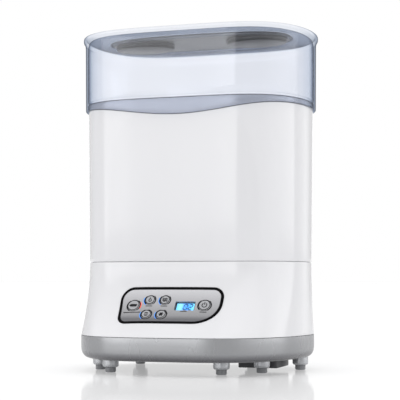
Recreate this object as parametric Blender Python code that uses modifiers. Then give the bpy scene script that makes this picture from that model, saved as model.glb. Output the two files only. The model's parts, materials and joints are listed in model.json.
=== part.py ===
"""Bottle sterilizer: an oval steam sterilizer and dryer for baby bottles.

The base boils water on a heating plate and blows warm air up through the stack. On it stand,
one above the other, a bottle rack, an oval sleeve with its collar, an upper tray and a clear lid.
Metres, +Z up, front towards -Y. The origin is at the middle of the footprint, on the floor.
"""

import math

import bmesh
import bpy
from mathutils import Matrix, Vector

MM = 0.001
GAP = 0.3 * MM

# Driving plans of the lid's lip, the bottom cover and the lid's insert: half width, depth in
# front of the axis, depth behind it, and the two powers of the superellipse.
LIP_PLAN = (130.5 * MM, 87.5 * MM, 87.5 * MM, 4.3, 1.97)
FOOT_PLAN = (125.8 * MM, 129.2 * MM, 82.8 * MM, 3.3, 1.85)
INSERT_PLAN = (104.0 * MM, 43.5 * MM, 43.5 * MM, 3.0, 2.6)
RING_POINTS = 36
AXIS_Y = (FOOT_PLAN[1] - LIP_PLAN[2]) / 2

# Heights of the stack, from the floor up.
PAD_TOP = 5.0 * MM
FOOT_TOP = 13.7 * MM
TRAY_BOTTOM = 14.0 * MM
TRAY_FLOOR = 16.5 * MM
TRAY_SEAM = 38.7 * MM
DECK_FLOOR = 108.0 * MM
SLEEVE_SEAM = 116.1 * MM
RACK_PLATE = 127.0 * MM
BASKET_FLOOR = 246.5 * MM
WAVE_LOW = 270.8 * MM
WAVE_RISE = 11.5 * MM
COLLAR_TOP = 288.4 * MM
LID_FLANGE = 361.9 * MM
LID_TOP = 363.2 * MM

# Insets from the lip plan of the faces that nest in one another.
SEAM_INSET = 8.0 * MM
SLEEVE_TOP_INSET = 6.0 * MM
LID_WALL_INSET = 2.8 * MM
LID_WALL = 2.2 * MM
WALL = 2.5 * MM
FLARE_POWER = 1.9

# Control panel: where its middle meets the front, how far it leans back, and its outline.
PANEL_Z = 68.75 * MM
PANEL_LEAN = math.radians(38)
PANEL_LEFT_TOP = -58.5 * MM
PANEL_LEFT_BOTTOM = -54.5 * MM
PANEL_RIGHT = 54.5 * MM
PANEL_TOP = 24.2 * MM
PANEL_BOTTOM = -21.3 * MM
BEZEL_WIDTH = 2.6 * MM
BEZEL_PROUD = 1.0 * MM
FACE_PROUD = 0.2 * MM
BOARD_DEPTH = 10.5 * MM
DISPLAY = (15.2 * MM, 1.9 * MM, 21.0 * MM, 10.6 * MM)
# Name, place across the panel, place up the panel, radius.
BUTTONS = (
    ("stop_button", -40.9 * MM, 2.3 * MM, 6.7 * MM),
    ("steam_button", -23.9 * MM, 9.0 * MM, 5.4 * MM),
    ("dry_button", -7.5 * MM, 9.0 * MM, 5.4 * MM),
    ("auto_button", -24.3 * MM, -9.3 * MM, 5.4 * MM),
    ("fan_button", -8.0 * MM, -9.3 * MM, 5.4 * MM),
    ("power_button", 36.1 * MM, 2.9 * MM, 6.5 * MM),
)

# Places in plan, from the axis of the stack.
FEET = (
    (-73.5 * MM, -80.0 * MM),
    (49.0 * MM, -81.0 * MM),
    (81.5 * MM, -43.0 * MM),
    (-99.0 * MM, -46.0 * MM),
    (-90.0 * MM, 51.0 * MM),
    (108.5 * MM, 16.0 * MM),
    (42.0 * MM, 60.0 * MM),
)
FOOT_RADIUS = 8.5 * MM
PAD_RADIUS = 5.6 * MM
POSTS = tuple(
    (side * x * MM, y * MM) for x, y in ((111.5, -24.0), (60.0, 69.2)) for side in (-1, 1)
)
POST_RADIUS = 3.5 * MM
BOSS_TOP = 20.0 * MM
BOARD_POSTS = tuple((x * MM, y * MM) for x in (-90.0, -36.0) for y in (-2.0, 38.0))
HEATER = (-24.0 * MM, 0.0)
HEATER_HOLE = 50.5 * MM
SENSOR = (44.0 * MM, -34.0 * MM)
OUTLET = (84.0 * MM, 22.0 * MM)
BLOWER = (64.0 * MM, -19.5 * MM)
BLOWER_RADIUS = 27.0 * MM
BLOWER_TOP = 44.0 * MM
FILTER = (73.5 * MM, -6.0 * MM)
FILTER_SIZE = (43.0 * MM, 52.0 * MM)
FILTER_BOTTOM = 4.2 * MM
SLOT_OFFSETS = (-15.0 * MM, -5.0 * MM, 5.0 * MM, 15.0 * MM)
INLET = (-40.0 * MM, 60.0 * MM)
WELL_X = 65.0 * MM
WELL_RADII = (34.0 * MM, 24.0 * MM)
WELL_BOTTOM = 355.2 * MM
INSERT_TOP = 361.7 * MM

WHITE = (0.83, 0.84, 0.86)
SATIN_GREY = (0.36, 0.37, 0.39)
COLLAR_GREY = (0.40, 0.43, 0.49)
DARK_GREY = (0.16, 0.165, 0.17)
STEEL = (0.62, 0.62, 0.63)


# ---------------------------------------------------------------- scene and placing


def clear_scene():
    for obj in list(bpy.data.objects):
        bpy.data.objects.remove(obj)


def new_collection(name):
    made = bpy.data.collections.new(name)
    bpy.context.scene.collection.children.link(made)
    return made


def new_empty(name, location, parent=None, axes=None):
    """An empty at a place in its parent's frame; axes is a 3x3 matrix that turns it."""
    made = bpy.data.objects.new(name, None)
    made.empty_display_size = 10 * MM
    PARTS.objects.link(made)
    made.parent = parent
    made.matrix_local = Matrix.Translation(location) @ (axes or Matrix.Identity(3)).to_4x4()
    return made


def finish(obj, colour, roughness, metallic=0.0, alpha=1.0):
    """Gives a part its own material and shades its round faces smooth."""
    made = bpy.data.materials.new(obj.name)
    made.use_nodes = True
    shader = made.node_tree.nodes["Principled BSDF"]
    shader.inputs["Base Color"].default_value = (*colour, 1)
    shader.inputs["Roughness"].default_value = roughness
    shader.inputs["Metallic"].default_value = metallic
    shader.inputs["Alpha"].default_value = alpha
    made.diffuse_color = (*colour, alpha)
    obj.data.materials.clear()
    obj.data.materials.append(made)
    obj.data.shade_smooth()
    obj.data.set_sharp_from_angle(angle=math.radians(35))
    return obj


def place(name, mesh, parent, location=(0, 0, 0), collection=None):
    made = bpy.data.objects.new(name, mesh)
    (collection or PARTS).objects.link(made)
    made.parent = parent
    made.location = location
    return made


def mesh_from(work, name):
    """Turns a finished bmesh into a mesh with its faces pointing out."""
    bmesh.ops.recalc_face_normals(work, faces=work.faces)
    made = bpy.data.meshes.new(name)
    work.to_mesh(made)
    work.free()
    return made


def cut(target, mesh, parent=None, operation="DIFFERENCE"):
    """Cuts a mesh out of a part, or joins or crosses it with the part, through a hidden helper."""
    tool = place(target.name + "_" + operation.lower(), mesh, parent, collection=CUTTERS)
    tool.hide_render = True
    tool.display_type = "WIRE"
    step = target.modifiers.new(operation.title(), "BOOLEAN")
    step.operation = operation
    step.solver = "EXACT"
    step.object = tool
    return target


# ---------------------------------------------------------------- outlines and rings


def oval_point(angle, plan, inset=0.0):
    """A point of an oval plan, moved square to the outline inwards by inset."""
    half_width, front, rear, width_power, depth_power = plan
    across, along = math.cos(angle), math.sin(angle)
    depth = rear if along >= 0 else front
    x_share = abs(across) ** (2 / width_power)
    y_share = abs(along) ** (2 / depth_power)
    x = math.copysign(half_width * x_share, across)
    y = math.copysign(depth * y_share, along)
    slope_x = math.copysign(width_power / half_width * x_share ** (width_power - 1), across)
    slope_y = math.copysign(depth_power / depth * y_share ** (depth_power - 1), along)
    square = Vector((slope_x, slope_y)).normalized()
    return Vector((x, y)) - inset * square


def even_angles(count):
    """Angles whose points lie about evenly along the lip, the same in each quarter."""
    fine = 400
    places = [oval_point(math.pi / 2 * i / fine, LIP_PLAN) for i in range(fine + 1)]
    lengths = [0.0]
    for before, after in zip(places, places[1:]):
        lengths.append(lengths[-1] + (after - before).length)
    quarter = []
    for step in range(count // 4):
        goal = lengths[-1] * step / (count // 4)
        index = next(i for i in range(fine) if lengths[i + 1] > goal)
        share = (goal - lengths[index]) / (lengths[index + 1] - lengths[index])
        quarter.append(math.pi / 2 * (index + share) / fine)
    half = quarter + [math.pi - angle for angle in [math.pi / 2] + quarter[:0:-1]]
    return half + [angle + math.pi for angle in half]


ANGLES = even_angles(RING_POINTS)


def flare(z):
    """How far the base has swept out at a height: 0 at the sleeve, 1 at the bottom tray."""
    share = (SLEEVE_SEAM - z) / (SLEEVE_SEAM - TRAY_SEAM)
    return min(max(share, 0.0), 1.0) ** FLARE_POWER


def base_point(angle, z, inset):
    swept = flare(z)
    upper = oval_point(angle, LIP_PLAN, SEAM_INSET + inset)
    lower = oval_point(angle, FOOT_PLAN, inset)
    return upper.lerp(lower, swept)


def base_ring(z, inset):
    return [Vector((*base_point(angle, z, inset), z)) for angle in ANGLES]


def wave(x):
    """Height of the collar's lower edge: lowest at the front and rear, highest at the ends."""
    share = min(abs(x) / (LIP_PLAN[0] - SLEEVE_TOP_INSET), 1.0)
    return WAVE_LOW + WAVE_RISE * (1 - math.cos(math.pi * share)) / 2


def stack_ring(z, inset):
    """A level ring of the upper stack, or one that follows the wave where the height is None."""
    ring = []
    for angle in ANGLES:
        x, y = oval_point(angle, LIP_PLAN, inset)
        ring.append(Vector((x, y, wave(x) if z is None else z)))
    return ring


def loft(name, rings, closed):
    """A skin over rings of equal length: closed joins last to first, otherwise both ends are capped."""
    work = bmesh.new()
    rows = [[work.verts.new(point) for point in ring] for ring in rings]
    pairs = list(zip(rows, rows[1:]))
    if closed:
        pairs.append((rows[-1], rows[0]))
    for low, high in pairs:
        for i in range(len(low)):
            j = (i + 1) % len(low)
            work.faces.new((low[i], low[j], high[j], high[i]))
    if not closed:
        work.faces.new(rows[0])
        work.faces.new(rows[-1])
    return mesh_from(work, name)


def rounded_outline(corners, steps=5):
    """Points round a polygon whose corners are (x, y, radius), counterclockwise."""
    outline = []
    for index, (x, y, radius) in enumerate(corners):
        here = Vector((x, y))
        before = (Vector(corners[index - 1][:2]) - here).normalized()
        after = (Vector(corners[(index + 1) % len(corners)][:2]) - here).normalized()
        half_angle = before.angle(after) / 2
        centre = here + (before + after).normalized() * radius / math.sin(half_angle)
        first = here + before * radius / math.tan(half_angle) - centre
        last = here + after * radius / math.tan(half_angle) - centre
        turn = math.atan2(first.cross(last), first.dot(last))
        for step in range(steps + 1):
            outline.append(centre + Matrix.Rotation(turn * step / steps, 2) @ first)
    return outline


def rectangle(width, depth, radius, steps=3):
    x, y = width / 2, depth / 2
    return rounded_outline(((x, y, radius), (-x, y, radius), (-x, -y, radius), (x, -y, radius)), steps)


def panel_outline(inset):
    """The panel's outline in its own plane, with a large lower right corner."""
    corners = (
        (PANEL_RIGHT - inset, PANEL_TOP - inset, 11 * MM - inset),
        (PANEL_LEFT_TOP + inset, PANEL_TOP - inset, 14 * MM - inset),
        (PANEL_LEFT_BOTTOM + inset, PANEL_BOTTOM + inset, 11 * MM - inset),
        (PANEL_RIGHT - inset, PANEL_BOTTOM + inset, 28 * MM - inset),
    )
    return rounded_outline(corners, steps=4)


# ---------------------------------------------------------------- solids


def prism(name, outline, bottom, top):
    """A flat outline with thickness, as a filled 2D curve turned into a mesh."""
    curve = bpy.data.curves.new(name, "CURVE")
    curve.dimensions = "2D"
    curve.fill_mode = "BOTH"
    curve.extrude = (top - bottom) / 2
    spline = curve.splines.new("POLY")
    spline.points.add(len(outline) - 1)
    for point, (x, y) in zip(spline.points, outline):
        point.co = (x, y, 0, 1)
    spline.use_cyclic_u = True
    return mesh_of_curve(name, curve, Matrix.Translation((0, 0, (bottom + top) / 2)))


def tube(name, points, radius, sides=1):
    """A round bar or wire along points, with filled ends."""
    curve = bpy.data.curves.new(name, "CURVE")
    curve.dimensions = "3D"
    curve.bevel_depth = radius
    curve.bevel_resolution = sides
    curve.use_fill_caps = True
    spline = curve.splines.new("POLY")
    spline.points.add(len(points) - 1)
    for point, place_of in zip(spline.points, points):
        point.co = (*place_of, 1)
    return mesh_of_curve(name, curve, Matrix.Identity(4))


def mesh_of_curve(name, curve, move):
    """The mesh that a curve evaluates to, with its loose caps welded on."""
    helper = bpy.data.objects.new(name, curve)
    bpy.context.scene.collection.objects.link(helper)
    evaluated = helper.evaluated_get(bpy.context.evaluated_depsgraph_get())
    made = bpy.data.meshes.new_from_object(evaluated)
    bpy.data.objects.remove(helper)
    bpy.data.curves.remove(curve)
    made.name = name
    work = bmesh.new()
    work.from_mesh(made)
    bmesh.ops.remove_doubles(work, verts=work.verts, dist=0.001 * MM)
    bmesh.ops.recalc_face_normals(work, faces=work.faces)
    work.to_mesh(made)
    work.free()
    made.transform(move)
    return made


def boxes(name, places):
    """One mesh of boxes, each given by its lowest and highest corner."""
    work = bmesh.new()
    for low, high in places:
        low, high = Vector(low), Vector(high)
        move = Matrix.Translation((low + high) / 2) @ Matrix.Diagonal((*(high - low), 1))
        bmesh.ops.create_cube(work, size=1, matrix=move)
    return mesh_from(work, name)


def rounds(name, places, sides=16):
    """One mesh of upright cylinders, each (x, y, radius, or radii, bottom, top)."""
    work = bmesh.new()
    for x, y, radius, bottom, top in places:
        wide, deep = radius if isinstance(radius, tuple) else (radius, radius)
        size = Matrix.Diagonal((wide, deep, top - bottom, 1))
        move = Matrix.Translation((x, y, (bottom + top) / 2)) @ size
        bmesh.ops.create_cone(
            work, cap_ends=True, segments=sides, radius1=1, radius2=1, depth=1, matrix=move
        )
    return mesh_from(work, name)


def turned(name, profile, steps, parent, location=(0, 0, 0), ring=False):
    """A solid of revolution. The profile runs down its outer side; a ring's profile joins up."""
    work = bmesh.new()
    row = [work.verts.new((radius, 0, height)) for radius, height in profile]
    for before, after in zip(row, row[1:]):
        work.edges.new((before, after))
    if ring:
        work.edges.new((row[-1], row[0]))
    mesh = bpy.data.meshes.new(name)
    work.to_mesh(mesh)
    work.free()
    made = place(name, mesh, parent, location)
    screw = made.modifiers.new("Screw", "SCREW")
    screw.steps = steps
    screw.render_steps = steps
    screw.use_merge_vertices = True
    screw.merge_threshold = 0.001 * MM
    screw.use_smooth_shade = True
    return made


# ---------------------------------------------------------------- the front's surface


def front_depth(x, z, inset=0.0):
    """How far the base's front lies in front of the axis, at a place across and a height."""
    low, high = math.pi, 2 * math.pi
    for _ in range(50):
        middle = (low + high) / 2
        if base_point(middle, z, inset).x < x:
            low = middle
        else:
            high = middle
    return -base_point(low, z, inset).y


def panel_axes(normal):
    """Axes of a face on the front: x across, y up the slope, z out along the normal."""
    across = Vector((1, 0, 0))
    across = (across - across.dot(normal) * normal).normalized()
    up = normal.cross(across)
    return Matrix((across, up, normal)).transposed()


PANEL_ORIGIN = Vector((0, -front_depth(0, PANEL_Z), PANEL_Z))
PANEL_TURN = panel_axes(Vector((0, -math.cos(PANEL_LEAN), math.sin(PANEL_LEAN))))


def surface_frame(u, v):
    """The point of the front seen square to the panel at (u, v), and its own axes."""
    near, far = 20 * MM, -20 * MM
    for _ in range(50):
        middle = (near + far) / 2
        point = PANEL_ORIGIN + PANEL_TURN @ Vector((u, v, middle))
        if -point.y > front_depth(point.x, point.z):
            near = middle
        else:
            far = middle
    point = PANEL_ORIGIN + PANEL_TURN @ Vector((u, v, near))
    x, z, step = point.x, point.z, 0.5 * MM
    tilt_x = (front_depth(x + step, z) - front_depth(x - step, z)) / (2 * step)
    tilt_z = (front_depth(x, z + step) - front_depth(x, z - step)) / (2 * step)
    return point, panel_axes(Vector((-tilt_x, -1, -tilt_z)).normalized())


def front_shell(name, outer, inner):
    """The base's wall between two insets, over the heights of the panel."""
    heights = [(30 + 8 * i) * MM for i in range(11)]
    rings = [base_ring(z, outer) for z in heights] + [base_ring(z, inner) for z in reversed(heights)]
    return loft(name, rings, closed=True)


# ---------------------------------------------------------------- base: housing and feet


def make_base_housing():
    levels = [TRAY_SEAM + GAP / 2] + [z * MM for z in (48.0, 59.0, 73.0, 92.0)]
    top = SLEEVE_SEAM - GAP / 2
    rings = [base_ring(z, 0) for z in levels]
    rings += [base_ring(top - 0.9 * MM, 0), base_ring(top, 0.8 * MM), base_ring(top, 3.4 * MM)]
    rings += [base_ring(122 * MM, 3.5 * MM), base_ring(122 * MM, 5.2 * MM)]
    rings += [base_ring(top, 5.4 * MM), base_ring(top, 12 * MM), base_ring(top - WALL, 12 * MM)]
    rings += [base_ring(top - WALL, WALL)]
    rings += [base_ring(z, WALL) for z in reversed(levels)]
    housing = place("base_housing", loft("base_housing", rings, closed=True), STACK)
    posts = [(x, y, POST_RADIUS, BOSS_TOP + GAP, top - WALL / 2) for x, y in POSTS]
    cut(housing, rounds("posts", posts, sides=10), STACK, "UNION")
    holes = [(x, y, 2.0 * MM, BOSS_TOP - WALL, 34 * MM) for x, y in POSTS]
    cut(housing, rounds("post_holes", holes, sides=8), STACK)
    cut(housing, prism("window", panel_outline(-GAP), -14 * MM, 14 * MM), PANEL)
    x, z = INLET
    low = (x - 11.3 * MM, 70 * MM, z - 7.8 * MM)
    high = (x + 11.3 * MM, 95 * MM, z + 7.8 * MM)
    cut(housing, boxes("inlet_hole", [(low, high)]), STACK)
    finish(housing, WHITE, 0.18)


def make_bottom_cover():
    top = TRAY_SEAM - GAP / 2
    outside = ((14.0, 12.0), (14.2, 8.5), (16.0, 3.8), (19.5, 1.0), (24.5, 0.0))
    inside = ((24.5, 4.3), (19.2, 5.4), (16.9, 9.0), (16.5, 13.0))
    rings = [base_ring(z * MM, inset * MM) for z, inset in outside]
    rings += [base_ring(top, 0), base_ring(top, 2.8 * MM)]
    rings += [base_ring(42 * MM, 2.9 * MM), base_ring(42 * MM, 4.2 * MM)]
    rings += [base_ring(z * MM, inset * MM) for z, inset in inside]
    cover = place("bottom_cover", loft("bottom_cover", rings, closed=False), STACK)
    bosses = [(x, y, 4.8 * MM, TRAY_FLOOR - GAP, BOSS_TOP) for x, y in POSTS]
    bosses += [(x, y, 3.0 * MM, TRAY_FLOOR - GAP, 23.7 * MM) for x, y in BOARD_POSTS]
    cut(cover, rounds("bosses", bosses, sides=10), STACK, "UNION")
    holes = [(x, y, 3.3 * MM, 10 * MM, 17 * MM) for x, y in POSTS]
    holes += [(x, y, 2.0 * MM, 16 * MM, 22 * MM) for x, y in POSTS]
    for hole in holes:
        cut(cover, rounds("screw_hole", [hole], sides=10), STACK)
    slots = []
    for offset in SLOT_OFFSETS:
        x, y = FILTER[0] + offset * 0.8, FILTER[1]
        low = (x - 2.6 * MM, y - 19 * MM, 10 * MM)
        slots.append((low, (x + 2.6 * MM, y + 19 * MM, 20 * MM)))
    cut(cover, boxes("intake_slots", slots), STACK)
    finish(cover, SATIN_GREY, 0.32)


def make_feet():
    for number, (x, y) in enumerate(FEET, start=1):
        shape = ((0, FOOT_TOP), (FOOT_RADIUS, FOOT_TOP), (FOOT_RADIUS, 6.6 * MM))
        shape += ((7.4 * MM, PAD_TOP + GAP), (0, PAD_TOP + GAP))
        foot = turned(f"foot_{number}", shape, 12, STACK, (x, y, 0))
        finish(foot, (0.42, 0.43, 0.45), 0.3, 0.4)
        shape = ((0, PAD_TOP), (PAD_RADIUS, PAD_TOP), (PAD_RADIUS, 0.7 * MM), (4.9 * MM, 0), (0, 0))
        pad = turned(f"foot_pad_{number}", shape, 10, STACK, (x, y, 0))
        finish(pad, (0.30, 0.31, 0.33), 0.6)


def make_case_screws():
    head, shank = 2.8 * MM, 1.5 * MM
    for number, (x, y) in enumerate(POSTS, start=1):
        shape = ((0, 31 * MM), (shank, 31 * MM), (shank, 16.6 * MM), (head, 16.6 * MM))
        shape += ((head, 15.0 * MM), (head - 0.6 * MM, 14.5 * MM), (0, 14.5 * MM))
        screw = turned(f"case_screw_{number}", shape, 8, STACK, (x, y, 0))
        finish(screw, STEEL, 0.35, 1.0)


# ---------------------------------------------------------------- base: deck and heater


def make_deck_plate():
    profile = ((105.8, 17.2), (107.4, 14.8), (116.25, 12.6), (116.25, 5.9), (118.2, 5.9))
    profile += ((118.2, 13.2), (109.8, 17.0), (108.0, 18.8))
    rings = [base_ring(z * MM, inset * MM) for z, inset in profile]
    deck = place("deck_plate", loft("deck_plate", rings, closed=False), STACK)
    holes = [(*HEATER, HEATER_HOLE, 100 * MM, 112 * MM)]
    cut(deck, rounds("heater_hole", holes, sides=24), STACK)
    holes = [(*OUTLET, 11 * MM, 100 * MM, 112 * MM), (*SENSOR, 3.3 * MM, 100 * MM, 112 * MM)]
    cut(deck, rounds("deck_holes", holes, sides=16), STACK)
    finish(deck, WHITE, 0.3)


def make_heater():
    place_of = (*HEATER, 0)
    shape = ((50.9, 109.3), (56.5, 109.3), (56.5, 108.3), (50.9, 108.3))
    shape = [(radius * MM, height * MM) for radius, height in shape]
    finish(turned("heater_seal", shape, 24, STACK, place_of, ring=True), (0.75, 0.74, 0.72), 0.7)
    dish = ((0, 102.9), (46, 102.9), (48.8, 104.6), (48.8, 110.6), (55.5, 110.6))
    dish += ((55.5, 109.6), (49.9, 109.6), (49.9, 103.2), (47.4, 101.5), (0, 101.5))
    shape = [(radius * MM, height * MM) for radius, height in dish]
    finish(turned("heater_plate", shape, 24, STACK, place_of), STEEL, 0.22, 1.0)
    bend, height = 34 * MM, 97.8 * MM
    turns = [math.radians(24 + 312 * i / 18) for i in range(19)]
    points = [(bend * math.cos(turn), bend * math.sin(turn), height) for turn in turns]
    points.insert(0, (points[0][0], points[0][1], height - 9 * MM))
    points.append((points[-1][0], points[-1][1], height - 9 * MM))
    element = place("heating_element", tube("heating_element", points, 3.2 * MM), STACK, place_of)
    finish(element, (0.35, 0.33, 0.31), 0.45, 1.0)
    shape = ((0, 101.2), (9, 101.2), (9, 100.2), (6, 100.2), (6, 94.5), (0, 94.5))
    shape = [(radius * MM, height * MM) for radius, height in shape]
    finish(turned("thermostat", shape, 12, STACK, place_of), (0.10, 0.08, 0.07), 0.5)
    fuse = tube("thermal_fuse", [(-6 * MM, 15 * MM, 98.6 * MM), (6 * MM, 15 * MM, 98.6 * MM)], 2.0 * MM)
    finish(place("thermal_fuse", fuse, STACK, place_of), (0.7, 0.66, 0.55), 0.5)
    shape = ((0, 115.0), (1.8, 114.4), (2.8, 112.4), (2.8, 109.4), (5.0, 109.4))
    shape += ((5.0, 108.3), (2.8, 108.3), (2.8, 102.0), (0, 102.0))
    shape = [(radius * MM, height * MM) for radius, height in shape]
    finish(turned("temperature_sensor", shape, 12, STACK, (*SENSOR, 0)), STEEL, 0.25, 1.0)


def make_outlet_hood():
    shape = ((0, 124.0), (8, 123.2), (12.4, 120.6), (13.5, 117.6), (13.5, 108.3))
    shape += ((11.3, 108.3), (11.3, 117.2), (7.6, 120.4), (0, 121.4))
    shape = [(radius * MM, height * MM) for radius, height in shape]
    hood = turned("outlet_hood", shape, 16, STACK, (*OUTLET, 0))
    vents = boxes("hood_vents", [((-20 * MM, -2.5 * MM, 110 * MM), (20 * MM, 2.5 * MM, 116 * MM))])
    for turn in range(4):
        cut(hood, vents, STACK)
        tool = hood.modifiers[-1].object
        tool.location = (*OUTLET, 0)
        tool.rotation_euler.z = math.pi / 4 * turn
    finish(hood, WHITE, 0.3)


# ---------------------------------------------------------------- base: drying fan


def make_blower():
    x, y = BLOWER
    floor = TRAY_FLOOR + GAP
    case = place("blower_case", rounds("case", [(x, y, BLOWER_RADIUS, floor, BLOWER_TOP)], 24), STACK)
    low = (x + BLOWER_RADIUS - 22 * MM, y, floor)
    high = (x + BLOWER_RADIUS, OUTLET[1] - 12 * MM - GAP, BLOWER_TOP)
    cut(case, boxes("spout", [(low, high)]), STACK, "UNION")
    inside = [(x, y, BLOWER_RADIUS - 2 * MM, floor + 2 * MM, BLOWER_TOP - 2 * MM)]
    cut(case, rounds("case_inside", inside, 24), STACK)
    low = (low[0] + 2 * MM, y, floor + 2 * MM)
    high = (high[0] - 2 * MM, OUTLET[1], BLOWER_TOP - 2 * MM)
    cut(case, boxes("spout_inside", [(low, high)]), STACK)
    cut(case, rounds("case_inlet", [(x, y, 14 * MM, 10 * MM, 20 * MM)], 16), STACK)
    cut(case, rounds("shaft_hole", [(x, y, 4 * MM, 40 * MM, 50 * MM)], 10), STACK)
    finish(case, (0.05, 0.05, 0.055), 0.5)
    shape = ((0, 62.0), (11.5, 62.0), (14.0, 60.0), (14.0, 44.3), (1.5, 44.3), (1.5, 24.0), (0, 24.0))
    shape = [(radius * MM, height * MM) for radius, height in shape]
    finish(turned("blower_motor", shape, 16, STACK, (x, y, 0)), (0.5, 0.5, 0.52), 0.35, 1.0)


def make_impeller():
    shape = ((1.9, 40.8), (22.0, 40.8), (22.0, 39.4), (5.0, 39.4), (5.0, 28.0), (1.9, 28.0))
    shape = [(radius * MM, height * MM) for radius, height in shape]
    fan = turned("impeller", shape, 16, FAN, ring=True)
    work = bmesh.new()
    blades = 8
    for index in range(blades):
        turn = Matrix.Rotation(2 * math.pi * index / blades, 4, "Z")
        lean = Matrix.Translation((17.8 * MM, 0, 31 * MM)) @ Matrix.Rotation(math.radians(35), 4, "Z")
        size = Matrix.Diagonal((7.0 * MM, 1.2 * MM, 17.6 * MM, 1))
        bmesh.ops.create_cube(work, size=1, matrix=turn @ lean @ size)
    cut(fan, mesh_from(work, "blades"), FAN, "UNION")
    rim = ((15.6, 23.0), (22.0, 23.0), (22.0, 21.4), (15.6, 21.4))
    rim = [(radius * MM, height * MM) for radius, height in rim]
    ring = turned("impeller_rim", rim, 16, FAN, ring=True)
    PARTS.objects.unlink(ring)
    CUTTERS.objects.link(ring)
    ring.hide_render = True
    ring.display_type = "WIRE"
    step = fan.modifiers.new("Rim", "BOOLEAN")
    step.operation = "UNION"
    step.object = ring
    finish(fan, (0.08, 0.08, 0.085), 0.45)


def make_air_duct():
    x, y = OUTLET[0], OUTLET[1] + 2 * MM
    half, wall = 14 * MM, 2 * MM
    floor, top = TRAY_FLOOR + GAP, 105.5 * MM
    duct = boxes("air_duct", [((x - half, y - half, floor), (x + half, y + half, top))])
    duct = place("air_duct", duct, STACK)
    low = (x - half + wall, y - half + wall, floor + wall)
    cut(duct, boxes("duct_inside", [(low, (x + half - wall, y + half - wall, top + wall))]), STACK)
    low = (x - half + wall, y - half - wall, floor + wall)
    high = (x + 8 * MM, y, BLOWER_TOP - wall)
    cut(duct, boxes("duct_mouth", [(low, high)]), STACK)
    finish(duct, (0.6, 0.6, 0.58), 0.5)
    half = 11.4 * MM
    block = boxes("ptc_heater", [((x - half, y - half, 60 * MM), (x + half, y + half, 76 * MM))])
    block = place("ptc_heater", block, STACK)
    slots = []
    for index in range(4):
        middle = x + (index - 1.5) * 5.2 * MM
        slots.append(((middle - 1.5 * MM, y - 9 * MM, 50 * MM), (middle + 1.5 * MM, y + 9 * MM, 90 * MM)))
    cut(block, boxes("fins", slots), STACK)
    finish(block, (0.7, 0.7, 0.7), 0.4, 1.0)


def make_filter():
    width, depth = FILTER_SIZE
    top, wall = TRAY_BOTTOM - GAP, 2 * MM
    outline = rectangle(width, depth, 3 * MM, 2)
    inner = rectangle(width - 2 * wall, depth - 2 * wall, 1 * MM, 2)
    levels = ((outline, FILTER_BOTTOM), (outline, top), (inner, top), (inner, FILTER_BOTTOM + wall))
    rings = [[Vector((px, py, z)) for px, py in shape] for shape, z in levels]
    cover = place("filter_cover", loft("filter_cover", rings, closed=False), FILTER_AXIS)
    slots = []
    for offset in SLOT_OFFSETS:
        middle = offset * 0.8
        slots.append(((middle - 2.2 * MM, -20 * MM, 0), (middle + 2.2 * MM, 20 * MM, 8 * MM)))
    cut(cover, boxes("cover_slots", slots), FILTER_AXIS)
    finish(cover, (0.05, 0.05, 0.055), 0.4)
    half_x, half_y = width / 2 - wall - GAP, depth / 2 - wall - GAP
    low = (-half_x, -half_y, FILTER_BOTTOM + wall + GAP)
    pad = boxes("filter_pad", [(low, (half_x, half_y, 12.4 * MM))])
    finish(place("filter_pad", pad, FILTER_AXIS), (0.25, 0.26, 0.28), 0.9)


# ---------------------------------------------------------------- base: control panel


def make_panel():
    bezel = place("panel_bezel", prism("panel_bezel", panel_outline(0), -13 * MM, 13 * MM), PANEL)
    cut(bezel, front_shell("bezel_shell", -BEZEL_PROUD, WALL), STACK, "INTERSECT")
    cut(bezel, prism("bezel_hole", panel_outline(BEZEL_WIDTH), -14 * MM, 14 * MM), PANEL)
    finish(bezel, (0.015, 0.015, 0.017), 0.25)
    outline = panel_outline(BEZEL_WIDTH + GAP)
    face = place("panel_face", prism("panel_face", outline, -12 * MM, 12 * MM), PANEL)
    cut(face, front_shell("face_shell", -FACE_PROUD, WALL), STACK, "INTERSECT")
    for name, _, _, radius in BUTTONS:
        hole = rounds("button_hole", [(0, 0, radius + 0.5 * MM, -8 * MM, 8 * MM)], sides=12)
        cut(face, hole, FRAMES[name])
    width, height = DISPLAY[2] + 0.6 * MM, DISPLAY[3] + 0.6 * MM
    low = (-width / 2, -height / 2, -8 * MM)
    cut(face, boxes("display_hole", [(low, (width / 2, height / 2, 8 * MM))]), FRAMES["display_window"])
    finish(face, (0.55, 0.56, 0.58), 0.3, 0.6)


def make_display():
    frame = FRAMES["display_window"]
    outline = rectangle(DISPLAY[2], DISPLAY[3], 0.8 * MM, 2)
    window = place("display_window", prism("display_window", outline, -1.7 * MM, 0.1 * MM), frame)
    finish(window, (0.25, 0.5, 0.9), 0.1, alpha=0.5)
    half_x, half_y = DISPLAY[2] / 2 - 1 * MM, DISPLAY[3] / 2 - 0.6 * MM
    module = boxes("display_module", [((-half_x, -half_y, -5.2 * MM), (half_x, half_y, -2.0 * MM))])
    finish(place("display_module", module, frame), (0.1, 0.35, 0.85), 0.4)


def make_buttons():
    for name, _, _, radius in BUTTONS:
        profile = ((0, 1.1 * MM), (radius - 1.4 * MM, 1.0 * MM), (radius - 0.3 * MM, 0.5 * MM))
        profile += ((radius, -0.3 * MM), (radius, -3.4 * MM), (1.5 * MM, -3.4 * MM))
        profile += ((1.5 * MM, -5.2 * MM), (0, -5.2 * MM))
        button = turned(name, profile, 12, FRAMES[name])
        finish(button, (0.5, 0.51, 0.53), 0.3, 0.5)


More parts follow.
